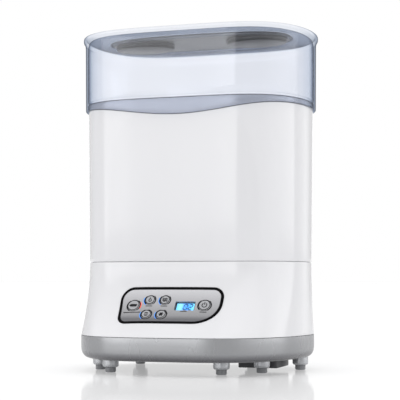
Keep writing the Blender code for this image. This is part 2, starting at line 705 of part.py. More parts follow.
def make_control_board():
    depth = BOARD_DEPTH
    outline = rectangle(92 * MM, 32 * MM, 2 * MM, 1)
    board = place("control_board", prism("control_board", outline, -depth - 1.6 * MM, -depth), PANEL)
    switches = []
    for _, u, v, _ in BUTTONS:
        low = (u - 2.2 * MM, v - 2.2 * MM, -depth - 0.8 * MM)
        switches.append((low, (u + 2.2 * MM, v + 2.2 * MM, -depth + 1.0 * MM)))
    cut(board, boxes("switches", switches), PANEL, "UNION")
    finish(board, (0.02, 0.16, 0.06), 0.5)


# ---------------------------------------------------------------- base: power


def make_power_board():
    left, right = BOARD_POSTS[0][0] - 6 * MM, BOARD_POSTS[-1][0] + 6 * MM
    front, rear = BOARD_POSTS[0][1] - 6 * MM, BOARD_POSTS[-1][1] + 6 * MM
    level = 24.0 * MM
    board = boxes("power_board", [((left, front, level), (right, rear, level + 1.6 * MM))])
    board = place("power_board", board, STACK)
    parts = (
        ((-88, 4, 25), (-68, 20, 43)),
        ((-62, 6, 25), (-48, 18, 37)),
        ((-84, 26, 25), (-66, 36, 33)),
        ((-58, 24, 25), (-42, 34, 30)),
    )
    places = [([c * MM for c in low], [c * MM for c in high]) for low, high in parts]
    cut(board, boxes("board_parts", places), STACK, "UNION")
    finish(board, (0.25, 0.16, 0.06), 0.6)


def make_power_inlet():
    x, z = INLET
    half_x, half_z = 11 * MM, 7.5 * MM
    rear = 81.8 * MM
    body = boxes("power_inlet", [((x - half_x, 62 * MM, z - half_z), (x + half_x, rear, z + half_z))])
    inlet = place("power_inlet", body, STACK)
    low = (x - half_x + 2.5 * MM, 67 * MM, z - half_z + 2.5 * MM)
    high = (x + half_x - 2.5 * MM, rear + 5 * MM, z + half_z - 2.5 * MM)
    cut(inlet, boxes("socket", [(low, high)]), STACK)
    pins = []
    for side in (-1, 1):
        middle = x + side * 4.3 * MM
        low = (middle - 1.2 * MM, 65 * MM, z - 1.2 * MM)
        pins.append((low, (middle + 1.2 * MM, 77 * MM, z + 1.2 * MM)))
    cut(inlet, boxes("inlet_pins", pins), STACK, "UNION")
    finish(inlet, (0.04, 0.04, 0.045), 0.5)


def smooth_route(points, count):
    """A smooth curve through a few points of a lead's route, as count + 1 points."""
    knots = [Vector(point) * MM for point in points]
    knots = [2 * knots[0] - knots[1]] + knots + [2 * knots[-1] - knots[-2]]
    spans = len(knots) - 3
    route = []
    for step in range(count + 1):
        place_in = min(step * spans / count, spans - 1e-9)
        index = int(place_in)
        t = place_in - index
        p0, p1, p2, p3 = knots[index : index + 4]
        slope1, slope2 = (p2 - p0) / 2, (p3 - p1) / 2
        square, cube = t * t, t * t * t
        near = p1 * (2 * cube - 3 * square + 1) + slope1 * (cube - 2 * square + t)
        route.append(near + p2 * (3 * square - 2 * cube) + slope2 * (cube - square))
    return route


def make_leads():
    route = ((-40, 61.6, 60), (-41, 52, 58), (-46, 40, 46), (-50, 29, 36), (-50, 29, 30.4))
    lead = tube("mains_lead", smooth_route(route, 14), 1.6 * MM)
    finish(place("mains_lead", lead, STACK), (0.7, 0.7, 0.7), 0.6)
    rise = HEATER[0] / MM + 34 * math.cos(math.radians(24))
    back = 34 * math.sin(math.radians(24))
    route = ((-55, 12, 37.5), (-52, 12, 50), (-20, 14, 66), (rise, back, 78), (rise, back, 88.2))
    lead = tube("heater_lead", smooth_route(route, 14), 1.2 * MM)
    finish(place("heater_lead", lead, STACK), (0.6, 0.05, 0.04), 0.6)


# ---------------------------------------------------------------- stack: rack, sleeve, tray


def make_bottle_rack():
    plate = RACK_PLATE
    profile = ((plate, 14.5), (plate + 2 * MM, 12.6), (plate + 12 * MM, 12.4), (plate + 12 * MM, 14.4))
    profile += ((plate + 4 * MM, 14.8), (plate + 2.2 * MM, 16.8))
    rings = [stack_ring(z, inset * MM) for z, inset in profile]
    rack = place("bottle_rack", loft("bottle_rack", rings, closed=False), STACK)
    posts = [(x * MM, y * MM, 4 * MM, DECK_FLOOR + GAP, plate + MM) for x in (-80, 80) for y in (-42, 42)]
    prongs = [(x * MM, y * MM, 3.2 * MM, plate + MM, 205 * MM) for x in (-70, 0, 70) for y in (-26, 26)]
    cut(rack, rounds("rack_posts", posts + prongs, sides=8), STACK, "UNION")
    slots = []
    for x in (-91, -49, -21, 21, 49, 91):
        low = ((x - 4) * MM, -34 * MM, plate - MM)
        slots.append((low, ((x + 4) * MM, 34 * MM, plate + 8 * MM)))
    cut(rack, boxes("rack_slots", slots), STACK)
    finish(rack, WHITE, 0.3)


def make_bottle_sleeve():
    foot = SLEEVE_SEAM + GAP / 2
    wall_top = SLEEVE_TOP_INSET + 4 * MM
    rings = [stack_ring(foot, SEAM_INSET + 0.7 * MM), stack_ring(foot + MM, SEAM_INSET)]
    rings += [stack_ring(200 * MM, 6.95 * MM)]
    shoulder = [point - Vector((0, 0, GAP)) for point in stack_ring(None, SLEEVE_TOP_INSET)]
    step = [point - Vector((0, 0, GAP)) for point in stack_ring(None, SLEEVE_TOP_INSET + 2.1 * MM)]
    rings += [shoulder, step, stack_ring(285 * MM, SLEEVE_TOP_INSET + 2.1 * MM)]
    rings += [stack_ring(285 * MM, wall_top), stack_ring(262 * MM, wall_top)]
    rings += [stack_ring(250 * MM, 8.95 * MM), stack_ring(foot, SEAM_INSET + 2.6 * MM)]
    finish(place("bottle_sleeve", loft("bottle_sleeve", rings, closed=True), STACK), WHITE, 0.15)


def make_collar_ring():
    skin = SLEEVE_TOP_INSET - 0.1 * MM
    top = COLLAR_TOP
    rings = [stack_ring(None, skin), stack_ring(top - MM, skin), stack_ring(top, skin + 0.8 * MM)]
    rings += [stack_ring(top, 9.2 * MM), stack_ring(top - 1.8 * MM, 9.2 * MM)]
    rings += [stack_ring(top - 1.8 * MM, 14.2 * MM), stack_ring(top - 3.1 * MM, 14.2 * MM)]
    rings += [stack_ring(top - 3.1 * MM, 7.8 * MM), stack_ring(None, 7.8 * MM)]
    finish(place("collar_ring", loft("collar_ring", rings, closed=True), STACK), COLLAR_GREY, 0.3, 0.3)


def make_upper_tray():
    rim, floor = COLLAR_TOP - 1.5 * MM, BASKET_FLOOR
    profile = ((floor - 2 * MM, 19.0), (floor, 17.2), (rim, 14.6), (rim, 9.5), (rim + 1.3 * MM, 9.5))
    profile += ((rim + 1.3 * MM, 16.2), (floor + 2 * MM, 18.9), (floor, 20.7))
    rings = [stack_ring(z, inset * MM) for z, inset in profile]
    tray = place("upper_tray", loft("upper_tray", rings, closed=False), STACK)
    slots = []
    for index in range(9):
        x = (index - 4) * 20 * MM
        slots.append(((x - 3 * MM, -34 * MM, floor - 5 * MM), (x + 3 * MM, 34 * MM, floor + 5 * MM)))
    cut(tray, boxes("tray_slots", slots), STACK)
    finish(tray, (0.72, 0.74, 0.76), 0.35)


# ---------------------------------------------------------------- stack: lid


def insert_ring(z, inset):
    return [Vector((*oval_point(angle, INSERT_PLAN, inset), z)) for angle in ANGLES]


def make_lid_cover():
    inner = LID_WALL_INSET + LID_WALL
    rest = COLLAR_TOP + GAP
    flange, top = LID_FLANGE / MM, LID_TOP / MM
    outside = ((354.0, 2.2), (357.4, 1.4), (359.2, 0.0), (top - 1, 0.0), (top, 1.0), (top, 2.6))
    rebate = ((flange, -0.6), (359.8, -0.6), (359.8, 3.0), (358.0, 3.0), (358.0, -2.6), (359.9, -2.6))
    rings = [stack_ring(None, LID_WALL_INSET)]
    rings += [stack_ring(z * MM, inset * MM) for z, inset in outside + ((flange, 4.2),)]
    rings += [insert_ring(z * MM, inset * MM) for z, inset in rebate]
    rings += [stack_ring(359.9 * MM, 5.2 * MM), stack_ring(357.6 * MM, 4.4 * MM)]
    rings += [stack_ring(rest + 2.5 * MM, inner), stack_ring(rest + 2 * MM, 8.0 * MM)]
    rings += [stack_ring(rest, 8.0 * MM), stack_ring(rest, inner), stack_ring(None, inner)]
    lid = place("lid_cover", loft("lid_cover", rings, closed=True), STACK)
    finish(lid, (0.80, 0.85, 0.93), 0.05, alpha=0.35)


def make_lid_handle():
    low = 359.8 * MM + GAP
    rings = [insert_ring(low, 0), insert_ring(INSERT_TOP, 0)]
    insert = place("lid_handle", loft("lid_handle", rings, closed=False), STACK)
    wide, deep = WELL_RADII
    wells = [(side * WELL_X, 0, WELL_RADII, WELL_BOTTOM, low + MM) for side in (-1, 1)]
    cut(insert, rounds("wells", wells, sides=28), STACK, "UNION")
    inside, floor = (wide - 1.6 * MM, deep - 1.6 * MM), WELL_BOTTOM + 1.6 * MM
    wells = [(side * WELL_X, 0, inside, floor, INSERT_TOP + 5 * MM) for side in (-1, 1)]
    cut(insert, rounds("wells_inside", wells, sides=28), STACK)
    vents = [(x * MM, 37 * MM, 1.6 * MM, low - 5 * MM, INSERT_TOP + 5 * MM) for x in (-14, -9, 9, 14)]
    cut(insert, rounds("steam_vents", vents, sides=8), STACK)
    finish(insert, DARK_GREY, 0.35)


def make_lid_grip():
    foot = INSERT_TOP / MM + 0.2
    sections = ((38, 68, 6, foot), (38, 68, 6, foot + 0.9), (36, 66, 5, LID_TOP / MM))
    rings = []
    for width, depth, radius, z in sections:
        rings.append([Vector((x, y, z * MM)) for x, y in rectangle(width * MM, depth * MM, radius * MM)])
    finish(place("lid_grip", loft("lid_grip", rings, closed=False), STACK), DARK_GREY, 0.3)


# ---------------------------------------------------------------- build

clear_scene()
PARTS = new_collection("bottle_sterilizer")
CUTTERS = new_collection("cutters")
STACK = new_empty("stack_axis", (0, AXIS_Y, 0))
PANEL = new_empty("panel_plane", PANEL_ORIGIN, STACK, PANEL_TURN)
FAN = new_empty("fan_axis", (*BLOWER, 0), STACK)
FILTER_AXIS = new_empty("filter_axis", (*FILTER, 0), STACK)
FRAMES = {}
for name, u, v, _ in BUTTONS + (("display_window", DISPLAY[0], DISPLAY[1], 0),):
    point, axes = surface_frame(u, v)
    FRAMES[name] = new_empty(name + "_axis", point, STACK, axes)

make_base_housing()
make_bottom_cover()
make_feet()
make_case_screws()
make_deck_plate()
make_heater()
make_outlet_hood()
make_blower()
make_impeller()
make_air_duct()
make_filter()
make_panel()
make_display()
make_buttons()
make_control_board()
make_power_board()
make_power_inlet()
make_leads()
make_bottle_rack()
make_bottle_sleeve()
make_collar_ring()
make_upper_tray()
make_lid_cover()
make_lid_handle()
make_lid_grip()
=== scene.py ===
"""Looks of the bottle sterilizer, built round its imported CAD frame.

The shells, trays and lid are lofted again over the same oval plans as in the CAD, with rounded
edges and many more points. Parts inside keep their CAD shape and get better materials.
Metres, +Z up, front towards -Y.
"""

import json
import math

import bmesh
import bpy
from mathutils import Matrix, Vector

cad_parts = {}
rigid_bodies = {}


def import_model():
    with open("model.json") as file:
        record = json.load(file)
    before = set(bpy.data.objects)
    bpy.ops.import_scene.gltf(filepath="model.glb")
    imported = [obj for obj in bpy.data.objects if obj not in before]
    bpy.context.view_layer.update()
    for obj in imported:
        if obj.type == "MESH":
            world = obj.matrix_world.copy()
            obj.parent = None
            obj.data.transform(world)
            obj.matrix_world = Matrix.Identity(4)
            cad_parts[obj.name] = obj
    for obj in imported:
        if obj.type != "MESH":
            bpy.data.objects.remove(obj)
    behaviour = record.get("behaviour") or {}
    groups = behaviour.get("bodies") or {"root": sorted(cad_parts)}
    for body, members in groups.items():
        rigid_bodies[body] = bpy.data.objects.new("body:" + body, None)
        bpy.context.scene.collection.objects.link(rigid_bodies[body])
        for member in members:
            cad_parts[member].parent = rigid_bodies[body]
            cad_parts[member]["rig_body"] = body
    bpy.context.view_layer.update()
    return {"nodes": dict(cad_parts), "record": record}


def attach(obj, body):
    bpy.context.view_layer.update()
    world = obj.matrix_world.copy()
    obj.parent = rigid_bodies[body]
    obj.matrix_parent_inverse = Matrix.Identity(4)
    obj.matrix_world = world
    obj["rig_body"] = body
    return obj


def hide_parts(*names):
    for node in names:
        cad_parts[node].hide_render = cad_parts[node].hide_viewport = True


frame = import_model()

MM = 0.001

# The same plans, heights and places as in the CAD. A plan is a half width, the depths in front
# of and behind the axis, and the two powers of its superellipse.
LIP_PLAN = (130.5 * MM, 87.5 * MM, 87.5 * MM, 4.3, 1.97)
FOOT_PLAN = (125.8 * MM, 129.2 * MM, 82.8 * MM, 3.3, 1.85)
INSERT_PLAN = (104.0 * MM, 43.5 * MM, 43.5 * MM, 3.0, 2.6)
RING_POINTS = 240
SHARP_EDGE = math.radians(40)
# A rounded corner takes up at most this share of each side beside it.
SIDE_SHARE = 0.45
AXIS_Y = (FOOT_PLAN[1] - LIP_PLAN[2]) / 2
AXIS = Matrix.Translation((0, AXIS_Y, 0))

TRAY_SEAM = 38.7
SLEEVE_SEAM = 116.1
WAVE_LOW = 270.8
WAVE_RISE = 11.5
COLLAR_TOP = 288.4
SLEEVE_TOP_INSET = 6.0
FLARE_POWER = 1.9
PANEL_Z = 68.75 * MM
PANEL_LEAN = math.radians(38)
PANEL_CORNERS = ((54.5, 24.2, 11), (-58.5, 24.2, 14), (-54.5, -21.3, 11), (54.5, -21.3, 28))
DISPLAY = (15.2, 1.9, 21.0, 10.6)
# Name, place across the panel, place up the panel, radius, sign on the cap.
BUTTONS = (
    ("stop_button", -40.9, 2.3, 6.7, "stop"),
    ("steam_button", -23.9, 9.0, 5.4, "drop"),
    ("dry_button", -7.5, 9.0, 5.4, "waves"),
    ("auto_button", -24.3, -9.3, 5.4, "cycle"),
    ("fan_button", -8.0, -9.3, 5.4, "fan"),
    ("power_button", 36.1, 2.9, 6.5, "power"),
)
FEET = ((-73.5, -80), (49, -81), (81.5, -43), (-99, -46), (-90, 51), (108.5, 16), (42, 60))
POSTS = ((-111.5, -24.0), (111.5, -24.0), (-60.0, 69.2), (60.0, 69.2))
BOARD_POSTS = ((-90.0, -2.0), (-36.0, -2.0), (-90.0, 38.0), (-36.0, 38.0))
HEATER = (-24.0, 0.0)
SENSOR = (44.0, -34.0)
OUTLET = (84.0, 22.0)
FILTER = (73.5, -6.0)
SLOT_OFFSETS = (-12.0, -4.0, 4.0, 12.0)
INLET = (-40.0, 60.0)
WELL_X = 65.0
WELL_RADII = (34.0, 24.0)
WELL_BOTTOM = 355.2
INSERT_TOP = 361.7

# The view: compass angle to the right of the front, distance from the axis, height.
CAMERA_TURN = math.radians(18.12)
CAMERA_DISTANCE = 1.347
CAMERA_HEIGHT = 0.0961
CAMERA_PITCH = math.radians(2.846)
CAMERA_LENS = 109.87
CAMERA_SHIFT_X = -0.00125
CAMERA_SHIFT_Y = 0.05
HORIZON_LIGHT = 0.45
OVERHEAD_LIGHT = 1.50
CEILING_LIGHT = 1.15
# Light reflected by compass angle in degrees, 0 at the front and 90 on the right.
LIGHT_ROUND = (
    (-180, 0.6), (-173, 1.3), (-151, 1.3), (-147, 0.55), (-118, 0.6), (-100, 0.8), (-72, 1.0),
    (-66, 2.6), (-34, 3.0), (-26, 2.3), (-16, 2.3), (-8, 2.8), (0, 2.8), (2, 0.7), (40, 0.8),
    (85, 1.9), (110, 2.4), (120, 2.4), (123, 0.9), (150, 1.5), (165, 0.7), (180, 0.6),
)


def standing(x, y):
    """The matrix of a place on the floor, (x, y) in mm from the axis."""
    return AXIS @ Matrix.Translation((x * MM, y * MM, 0))


# ---------------------------------------------------------------- outlines and rings


def oval_point(angle, plan, inset=0.0):
    """A point of an oval plan, moved square to the outline inwards by inset."""
    half_width, front, rear, width_power, depth_power = plan
    across, along = math.cos(angle), math.sin(angle)
    depth = rear if along >= 0 else front
    x_share = abs(across) ** (2 / width_power)
    y_share = abs(along) ** (2 / depth_power)
    x = math.copysign(half_width * x_share, across)
    y = math.copysign(depth * y_share, along)
    slope_x = math.copysign(width_power / half_width * x_share ** (width_power - 1), across)
    slope_y = math.copysign(depth_power / depth * y_share ** (depth_power - 1), along)
    return Vector((x, y)) - inset * Vector((slope_x, slope_y)).normalized()


def even_angles(count, plan):
    """Angles whose points lie about evenly along a plan, the same in each quarter."""
    fine = 2000
    places = [oval_point(math.pi / 2 * i / fine, plan) for i in range(fine + 1)]
    lengths = [0.0]
    for before, after in zip(places, places[1:]):
        lengths.append(lengths[-1] + (after - before).length)
    quarter, index = [], 0
    for step in range(count // 4):
        goal = lengths[-1] * step / (count // 4)
        while lengths[index + 1] <= goal:
            index += 1
        share = (goal - lengths[index]) / (lengths[index + 1] - lengths[index])
        quarter.append(math.pi / 2 * (index + share) / fine)
    half = quarter + [math.pi - angle for angle in [math.pi / 2] + quarter[:0:-1]]
    return half + [angle + math.pi for angle in half]


ANGLES = even_angles(RING_POINTS, LIP_PLAN)


def base_point(angle, z, inset):
    """A point of the base's side at a height: it sweeps from the lip plan out to the foot plan."""
    share = (SLEEVE_SEAM * MM - z) / ((SLEEVE_SEAM - TRAY_SEAM) * MM)
    swept = min(max(share, 0.0), 1.0) ** FLARE_POWER
    upper = oval_point(angle, LIP_PLAN, 8 * MM + inset)
    return upper.lerp(oval_point(angle, FOOT_PLAN, inset), swept)


def base_ring(z, inset, lift=0.0):
    return [Vector((*base_point(angle, z, inset), z)) for angle in ANGLES]


def stack_ring(z, inset, lift=0.0):
    """A ring of the upper stack. Lift is how much of the collar's wave is added to its height."""
    reach = LIP_PLAN[0] - SLEEVE_TOP_INSET * MM
    ring = []
    for angle in ANGLES:
        x, y = oval_point(angle, LIP_PLAN, inset)
        share = (1 - math.cos(math.pi * min(abs(x) / reach, 1.0))) / 2
        ring.append(Vector((x, y, z + lift * share)))
    return ring


def insert_ring(z, inset, lift=0.0):
    return [Vector((*oval_point(angle, INSERT_PLAN, inset), z)) for angle in ANGLES]


def corner_curve(start, corner, end, steps):
    """Points of the smooth curve from start to end that a corner pulls towards itself."""
    shares = [step / steps for step in range(steps + 1)]
    return [(1 - t) ** 2 * start + 2 * t * (1 - t) * corner + t * t * end for t in shares]


def softened(profile, closed, steps=3):
    """Rings of a rounded profile: rows (height, inset, radius) or also (ring, lift), in mm."""
    rows = [(*row, base_ring, 0)[:5] if len(row) == 3 else row for row in profile]
    made = []
    for index, (z, inset, radius, ring, lift) in enumerate(rows):
        here = Vector((z, inset, lift)) * MM
        before, after = rows[index - 1], rows[(index + 1) % len(rows)]
        ends = []
        for near in (before, after):
            way = Vector((near[0], near[1], near[4])) * MM - here
            reach = min(radius * MM, SIDE_SHARE * way.length) if near[3] is ring else 0
            ends.append(here + way.normalized() * reach)
        is_end = not closed and index in (0, len(rows) - 1)
        if radius == 0 or is_end:
            made.append((here, ring))
            continue
        made += [(point, ring) for point in corner_curve(ends[0], here, ends[1], steps)]
    return [ring(*point) for point, ring in made]


def shell_of(profile, closed=True):
    """A shell over a profile: closed goes all round a wall, otherwise it spans the middle."""
    return loft(softened(profile, closed), closed)


def on_stack(profile, lift=0):
    """Rows of a level profile, (height, inset, radius), placed on the upper stack's rings."""
    return [(z, inset, radius, stack_ring, lift) for z, inset, radius in profile]


def rounded_outline(corners, steps=12):
    """Points round a polygon whose corners are (x, y, radius), counterclockwise."""
    outline = []
    for index, (x, y, radius) in enumerate(corners):
        here = Vector((x, y))
        before = (Vector(corners[index - 1][:2]) - here).normalized()
        after = (Vector(corners[(index + 1) % len(corners)][:2]) - here).normalized()
        half_angle = before.angle(after) / 2
        centre = here + (before + after).normalized() * radius / math.sin(half_angle)
        first = here + before * radius / math.tan(half_angle) - centre
        last = here + after * radius / math.tan(half_angle) - centre
        turn = math.atan2(first.cross(last), first.dot(last))
        for step in range(steps + 1):
            outline.append(centre + Matrix.Rotation(turn * step / steps, 2) @ first)
    return outline


def rectangle(width, depth, radius, steps=6):
    x, y = width / 2, depth / 2
    corners = ((x, y, radius), (-x, y, radius), (-x, -y, radius), (x, -y, radius))
    return rounded_outline(corners, steps)


def panel_outline(inset):
    """The panel's outline in its own plane, in metres, filled in along its straight sides."""
    x_sign = (-1, 1, 1, -1)
    y_sign = (-1, -1, 1, 1)
    corners = []
    for (x, y, radius), side, level in zip(PANEL_CORNERS, x_sign, y_sign):
        corners.append((x + side * inset, y + level * inset, radius - inset))
    outline = rounded_outline(corners)
    filled = []
    for here, after in zip(outline, outline[1:] + outline[:1]):
        parts = max(1, round((after - here).length / 3))
        filled += [here.lerp(after, part / parts) * MM for part in range(parts)]
    return filled


# ---------------------------------------------------------------- meshes


def linked(name, data):
    """A new object in the scene."""
    obj = bpy.data.objects.new(name, data)
    bpy.context.scene.collection.objects.link(obj)
    return obj


def mesh_from(work, name):
    bmesh.ops.recalc_face_normals(work, faces=work.faces)
    made = bpy.data.meshes.new(name)
    work.to_mesh(made)
    work.free()
    return made


def loft(rings, closed=True):
    """A skin over rings of equal length, joined last to first or else capped at its ends."""
    work = bmesh.new()
    rows = [[work.verts.new(point) for point in ring] for ring in rings]
    pairs = list(zip(rows, rows[1:]))
    if closed:
        pairs.append((rows[-1], rows[0]))
    for low, high in pairs:
        for i in range(len(low)):
            j = (i + 1) % len(low)
            work.faces.new((low[i], low[j], high[j], high[i]))
    if not closed:
        work.faces.new(rows[0])
        work.faces.new(rows[-1])
    return mesh_from(work, "loft")


def turned(profile, sides=64, steps=4):
    """A solid turned about Z, from rows (radius, height, corner radius) in mm, top down."""
    points = [Vector((radius, height)) for radius, height, _ in profile]
    fine = []
    for index, (_, _, corner) in enumerate(profile):
        here = points[index]
        if index in (0, len(points) - 1) or corner == 0:
            fine.append(here)
            continue
        ends = []
        for near in (points[index - 1], points[index + 1]):
            way = near - here
            ends.append(here + way.normalized() * min(corner, SIDE_SHARE * way.length))
        fine += corner_curve(ends[0], here, ends[1], steps)
    work = bmesh.new()
    rows = []
    for radius, height in fine:
        if radius < 1e-6:
            rows.append([work.verts.new((0, 0, height * MM))])
            continue
        row = []
        for angle in (2 * math.pi * i / sides for i in range(sides)):
            x, y = radius * MM * math.cos(angle), radius * MM * math.sin(angle)
            row.append(work.verts.new((x, y, height * MM)))
        rows.append(row)
    for high, low in zip(rows, rows[1:]):
        for i in range(sides):
            j = (i + 1) % sides
            corners = [high[i % len(high)], high[j % len(high)]]
            corners += [low[j % len(low)], low[i % len(low)]]
            unique = list(dict.fromkeys(corners))
            if len(unique) > 2:
                work.faces.new(unique)
    return mesh_from(work, "turned")


def stepped_block(width, depth, radius, rows, tight=0.0):
    """A rounded block whose outline steps in, from rows (height, inset), in mm."""
    rings = []
    for z, inset in rows:
        outline = rectangle(width - 2 * inset, depth - 2 * inset, max(radius - inset, tight))
        rings.append([Vector((x, y, z)) * MM for x, y in outline])
    return loft(rings, closed=False)


def prism(outline, bottom, top, bevel=0.0):
    """A flat outline with thickness and softened rims, all in metres."""
    work = bmesh.new()
    floor = work.faces.new([work.verts.new((x, y, bottom)) for x, y in outline])
    made = bmesh.ops.extrude_face_region(work, geom=[floor])
    lifted = [v for v in made["geom"] if isinstance(v, bmesh.types.BMVert)]
    bmesh.ops.translate(work, verts=lifted, vec=(0, 0, top - bottom))
    if bevel:
        flat = [f for f in work.faces if abs(f.normal.z) > 0.9 or len(f.verts) > 4]
        rims = {edge for face in flat for edge in face.edges}
        edges = list(rims)
        bmesh.ops.bevel(work, geom=edges, offset=bevel, segments=3, affect="EDGES", profile=0.6)
    return mesh_from(work, "prism")


def boxes(places, bevel=0.0):
    """One mesh of boxes, each given by its lowest and highest corner in mm, edges bevelled."""
    work = bmesh.new()
    for low, high in places:
        low, high = Vector(low) * MM, Vector(high) * MM
        move = Matrix.Translation((low + high) / 2) @ Matrix.Diagonal((*(high - low), 1))
        bmesh.ops.create_cube(work, size=1, matrix=move)
    if bevel:
        bmesh.ops.bevel(work, geom=work.edges[:], offset=bevel * MM, segments=3, affect="EDGES")
    return mesh_from(work, "boxes")


def rounds(places, sides=48):
    """One mesh of upright cylinders, each (x, y, radius, or radii, bottom, top), in mm."""
    work = bmesh.new()
    for x, y, radius, bottom, top in places:
        wide, deep = radius if isinstance(radius, tuple) else (radius, radius)
        size = Matrix.Diagonal((wide, deep, top - bottom, 1))
        move = Matrix.Scale(MM, 4) @ Matrix.Translation((x, y, (bottom + top) / 2)) @ size
        bmesh.ops.create_cone(
            work, cap_ends=True, segments=sides, radius1=1, radius2=1, depth=1, matrix=move
        )
    return mesh_from(work, "rounds")


def bowl(x, radii, rows):
    """An oval bowl's solid: rows are (height, inset from the radii) in mm, from the top down."""
    angles = [2 * math.pi * i / 96 for i in range(96)]
    rings = []
    for z, inset in rows:
        wide, deep = radii[0] - inset, radii[1] - inset
        ring = [Vector((x + wide * math.cos(a), deep * math.sin(a), z)) * MM for a in angles]
        rings.append(ring)
    return loft(rings, closed=False)


def evaluated_mesh(obj):
    """The object's mesh after its modifiers or its curve's bevel."""
    evaluated = obj.evaluated_get(bpy.context.evaluated_depsgraph_get())
    return bpy.data.meshes.new_from_object(evaluated)


def carved(mesh, *steps):
    """The mesh after exact Boolean steps, each (operation, tool mesh) and a matrix if it moves."""
    target = linked("carved", mesh)
    tools = []
    for operation, tool_mesh, *matrix in steps:
        tool = linked("tool", tool_mesh)
        if matrix:
            tool.matrix_world = matrix[0]
        tools.append(tool)
        step = target.modifiers.new("Boolean", "BOOLEAN")
        step.operation = operation
        step.solver = "EXACT"
        step.object = tool
    made = evaluated_mesh(target)
    for obj in (target, *tools):
        bpy.data.objects.remove(obj)
    return made


def sweep(points, radius, sides=10, closed=False):
    """A round bar along points, in metres, with filled ends."""
    curve = bpy.data.curves.new("sweep", "CURVE")
    curve.dimensions = "3D"
    curve.bevel_depth = radius
    curve.bevel_resolution = sides // 2
    curve.use_fill_caps = True
    spline = curve.splines.new("POLY")
    spline.points.add(len(points) - 1)
    for point, place in zip(spline.points, points):
        point.co = (*place, 1)
    spline.use_cyclic_u = closed
    helper = linked("sweep", curve)
    made = evaluated_mesh(helper)
    bpy.data.objects.remove(helper)
    bpy.data.curves.remove(curve)
    return made


def joined(meshes):
    work = bmesh.new()
    for mesh in meshes:
        work.from_mesh(mesh)
    made = bpy.data.meshes.new("joined")
    work.to_mesh(made)
    work.free()
    return made


def piece(name, mesh, body, slot, stands_for=(), matrix=AXIS, material=None):
    """Puts a finished mesh in the scene, riding on a CAD body and standing for its CAD nodes.

    It has its slot's own material unless another is given.
    """
    mesh.name = name
    mesh.materials.clear()
    mesh.materials.append(material or MATERIALS[slot])
    mesh.shade_smooth()
    mesh.set_sharp_from_angle(angle=SHARP_EDGE)
    obj = linked(name, mesh)
    obj.matrix_world = matrix
    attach(obj, body)
    if stands_for:
        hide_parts(*stands_for)
    return obj


# ---------------------------------------------------------------- materials


def new_material(name, roughness, metallic=0.0, ior=1.5, coat=0.0):
    """A Principled material and its node tree, with the values that are the same all over."""
    material = bpy.data.materials.new(name)
    material.use_nodes = True
    tree = material.node_tree
    shader = tree.nodes["Principled BSDF"]
    shader.inputs["Roughness"].default_value = roughness
    shader.inputs["Metallic"].default_value = metallic
    shader.inputs["IOR"].default_value = ior
    shader.inputs["Coat Weight"].default_value = coat
    shader.inputs["Coat Roughness"].default_value = 0.04
    return material, tree, shader


def textured(tree, kind, scale, stretch=(1, 1, 1)):
    """A texture node over the object's own coordinates, in metres."""
    place = tree.nodes.new("ShaderNodeTexCoord")
    mapping = tree.nodes.new("ShaderNodeMapping")
    mapping.inputs["Scale"].default_value = [scale * s for s in stretch]
    tree.links.new(place.outputs["Object"], mapping.inputs["Vector"])
    node = tree.nodes.new(kind)
    node.inputs["Scale"].default_value = 1.0
    tree.links.new(mapping.outputs["Vector"], node.inputs["Vector"])
    return node


def noise(tree, scale, detail=2.0, stretch=(1, 1, 1)):
    node = textured(tree, "ShaderNodeTexNoise", scale, stretch)
    node.inputs["Detail"].default_value = detail
    return node.outputs["Fac"]


def cell_pattern(tree, scale):
    return textured(tree, "ShaderNodeTexVoronoi", scale).outputs["Distance"]


def coordinate(tree, axis, output="Object"):
    """One coordinate of the point on the surface, or of the direction for the world."""
    place = tree.nodes.new("ShaderNodeTexCoord")
    split = tree.nodes.new("ShaderNodeSeparateXYZ")
    tree.links.new(place.outputs[output], split.inputs["Vector"])
    return split.outputs[axis]


def worked_out(tree, operation, *values):
    """The result of a Math node over sockets and fixed numbers."""
    node = tree.nodes.new("ShaderNodeMath")
    node.operation = operation
    for value, socket in zip(values, node.inputs):
        if isinstance(value, (int, float)):
            socket.default_value = value
        else:
            tree.links.new(value, socket)
    return node.outputs["Value"]


def mixed_shader(tree, share, first, second):
    """The output of a Mix Shader. The share is a socket or a fixed number."""
    node = tree.nodes.new("ShaderNodeMixShader")
    if isinstance(share, float):
        node.inputs["Fac"].default_value = share
    else:
        tree.links.new(share, node.inputs["Fac"])
    tree.links.new(first, node.inputs[1])
    tree.links.new(second, node.inputs[2])
    return node.outputs["Shader"]


def spread(tree, value, low, high, start=0.2, end=0.8):
    """A texture's value mapped to a range."""
    node = tree.nodes.new("ShaderNodeMapRange")
    for name, number in (("From Min", start), ("From Max", end), ("To Min", low), ("To Max", high)):
        node.inputs[name].default_value = number
    tree.links.new(value, node.inputs["Value"])
    return node.outputs["Result"]


def blend_colours(tree, value, stops):
    """A colour ramp over a value. Stops are (place, (r, g, b))."""
    node = tree.nodes.new("ShaderNodeValToRGB")
    ramp = node.color_ramp
    while len(ramp.elements) < len(stops):
        ramp.elements.new(0.5)
    for element, (place, colour) in zip(ramp.elements, stops):
        element.position = place
        element.color = (*colour, 1)
    tree.links.new(value, node.inputs["Fac"])
    return node.outputs["Color"]


def mixed_colour(tree, share, first, second):
    """A mix of two colours, each a socket or a fixed (r, g, b)."""
    node = tree.nodes.new("ShaderNodeMixRGB")
    tree.links.new(share, node.inputs["Fac"])
    for name, colour in (("Color1", first), ("Color2", second)):
        if isinstance(colour, tuple):
            node.inputs[name].default_value = (*colour, 1)
        else:
            tree.links.new(colour, node.inputs[name])
    return node.outputs["Color"]


def shaded(colour, factor):
    return tuple(min(channel * factor, 1.0) for channel in colour)


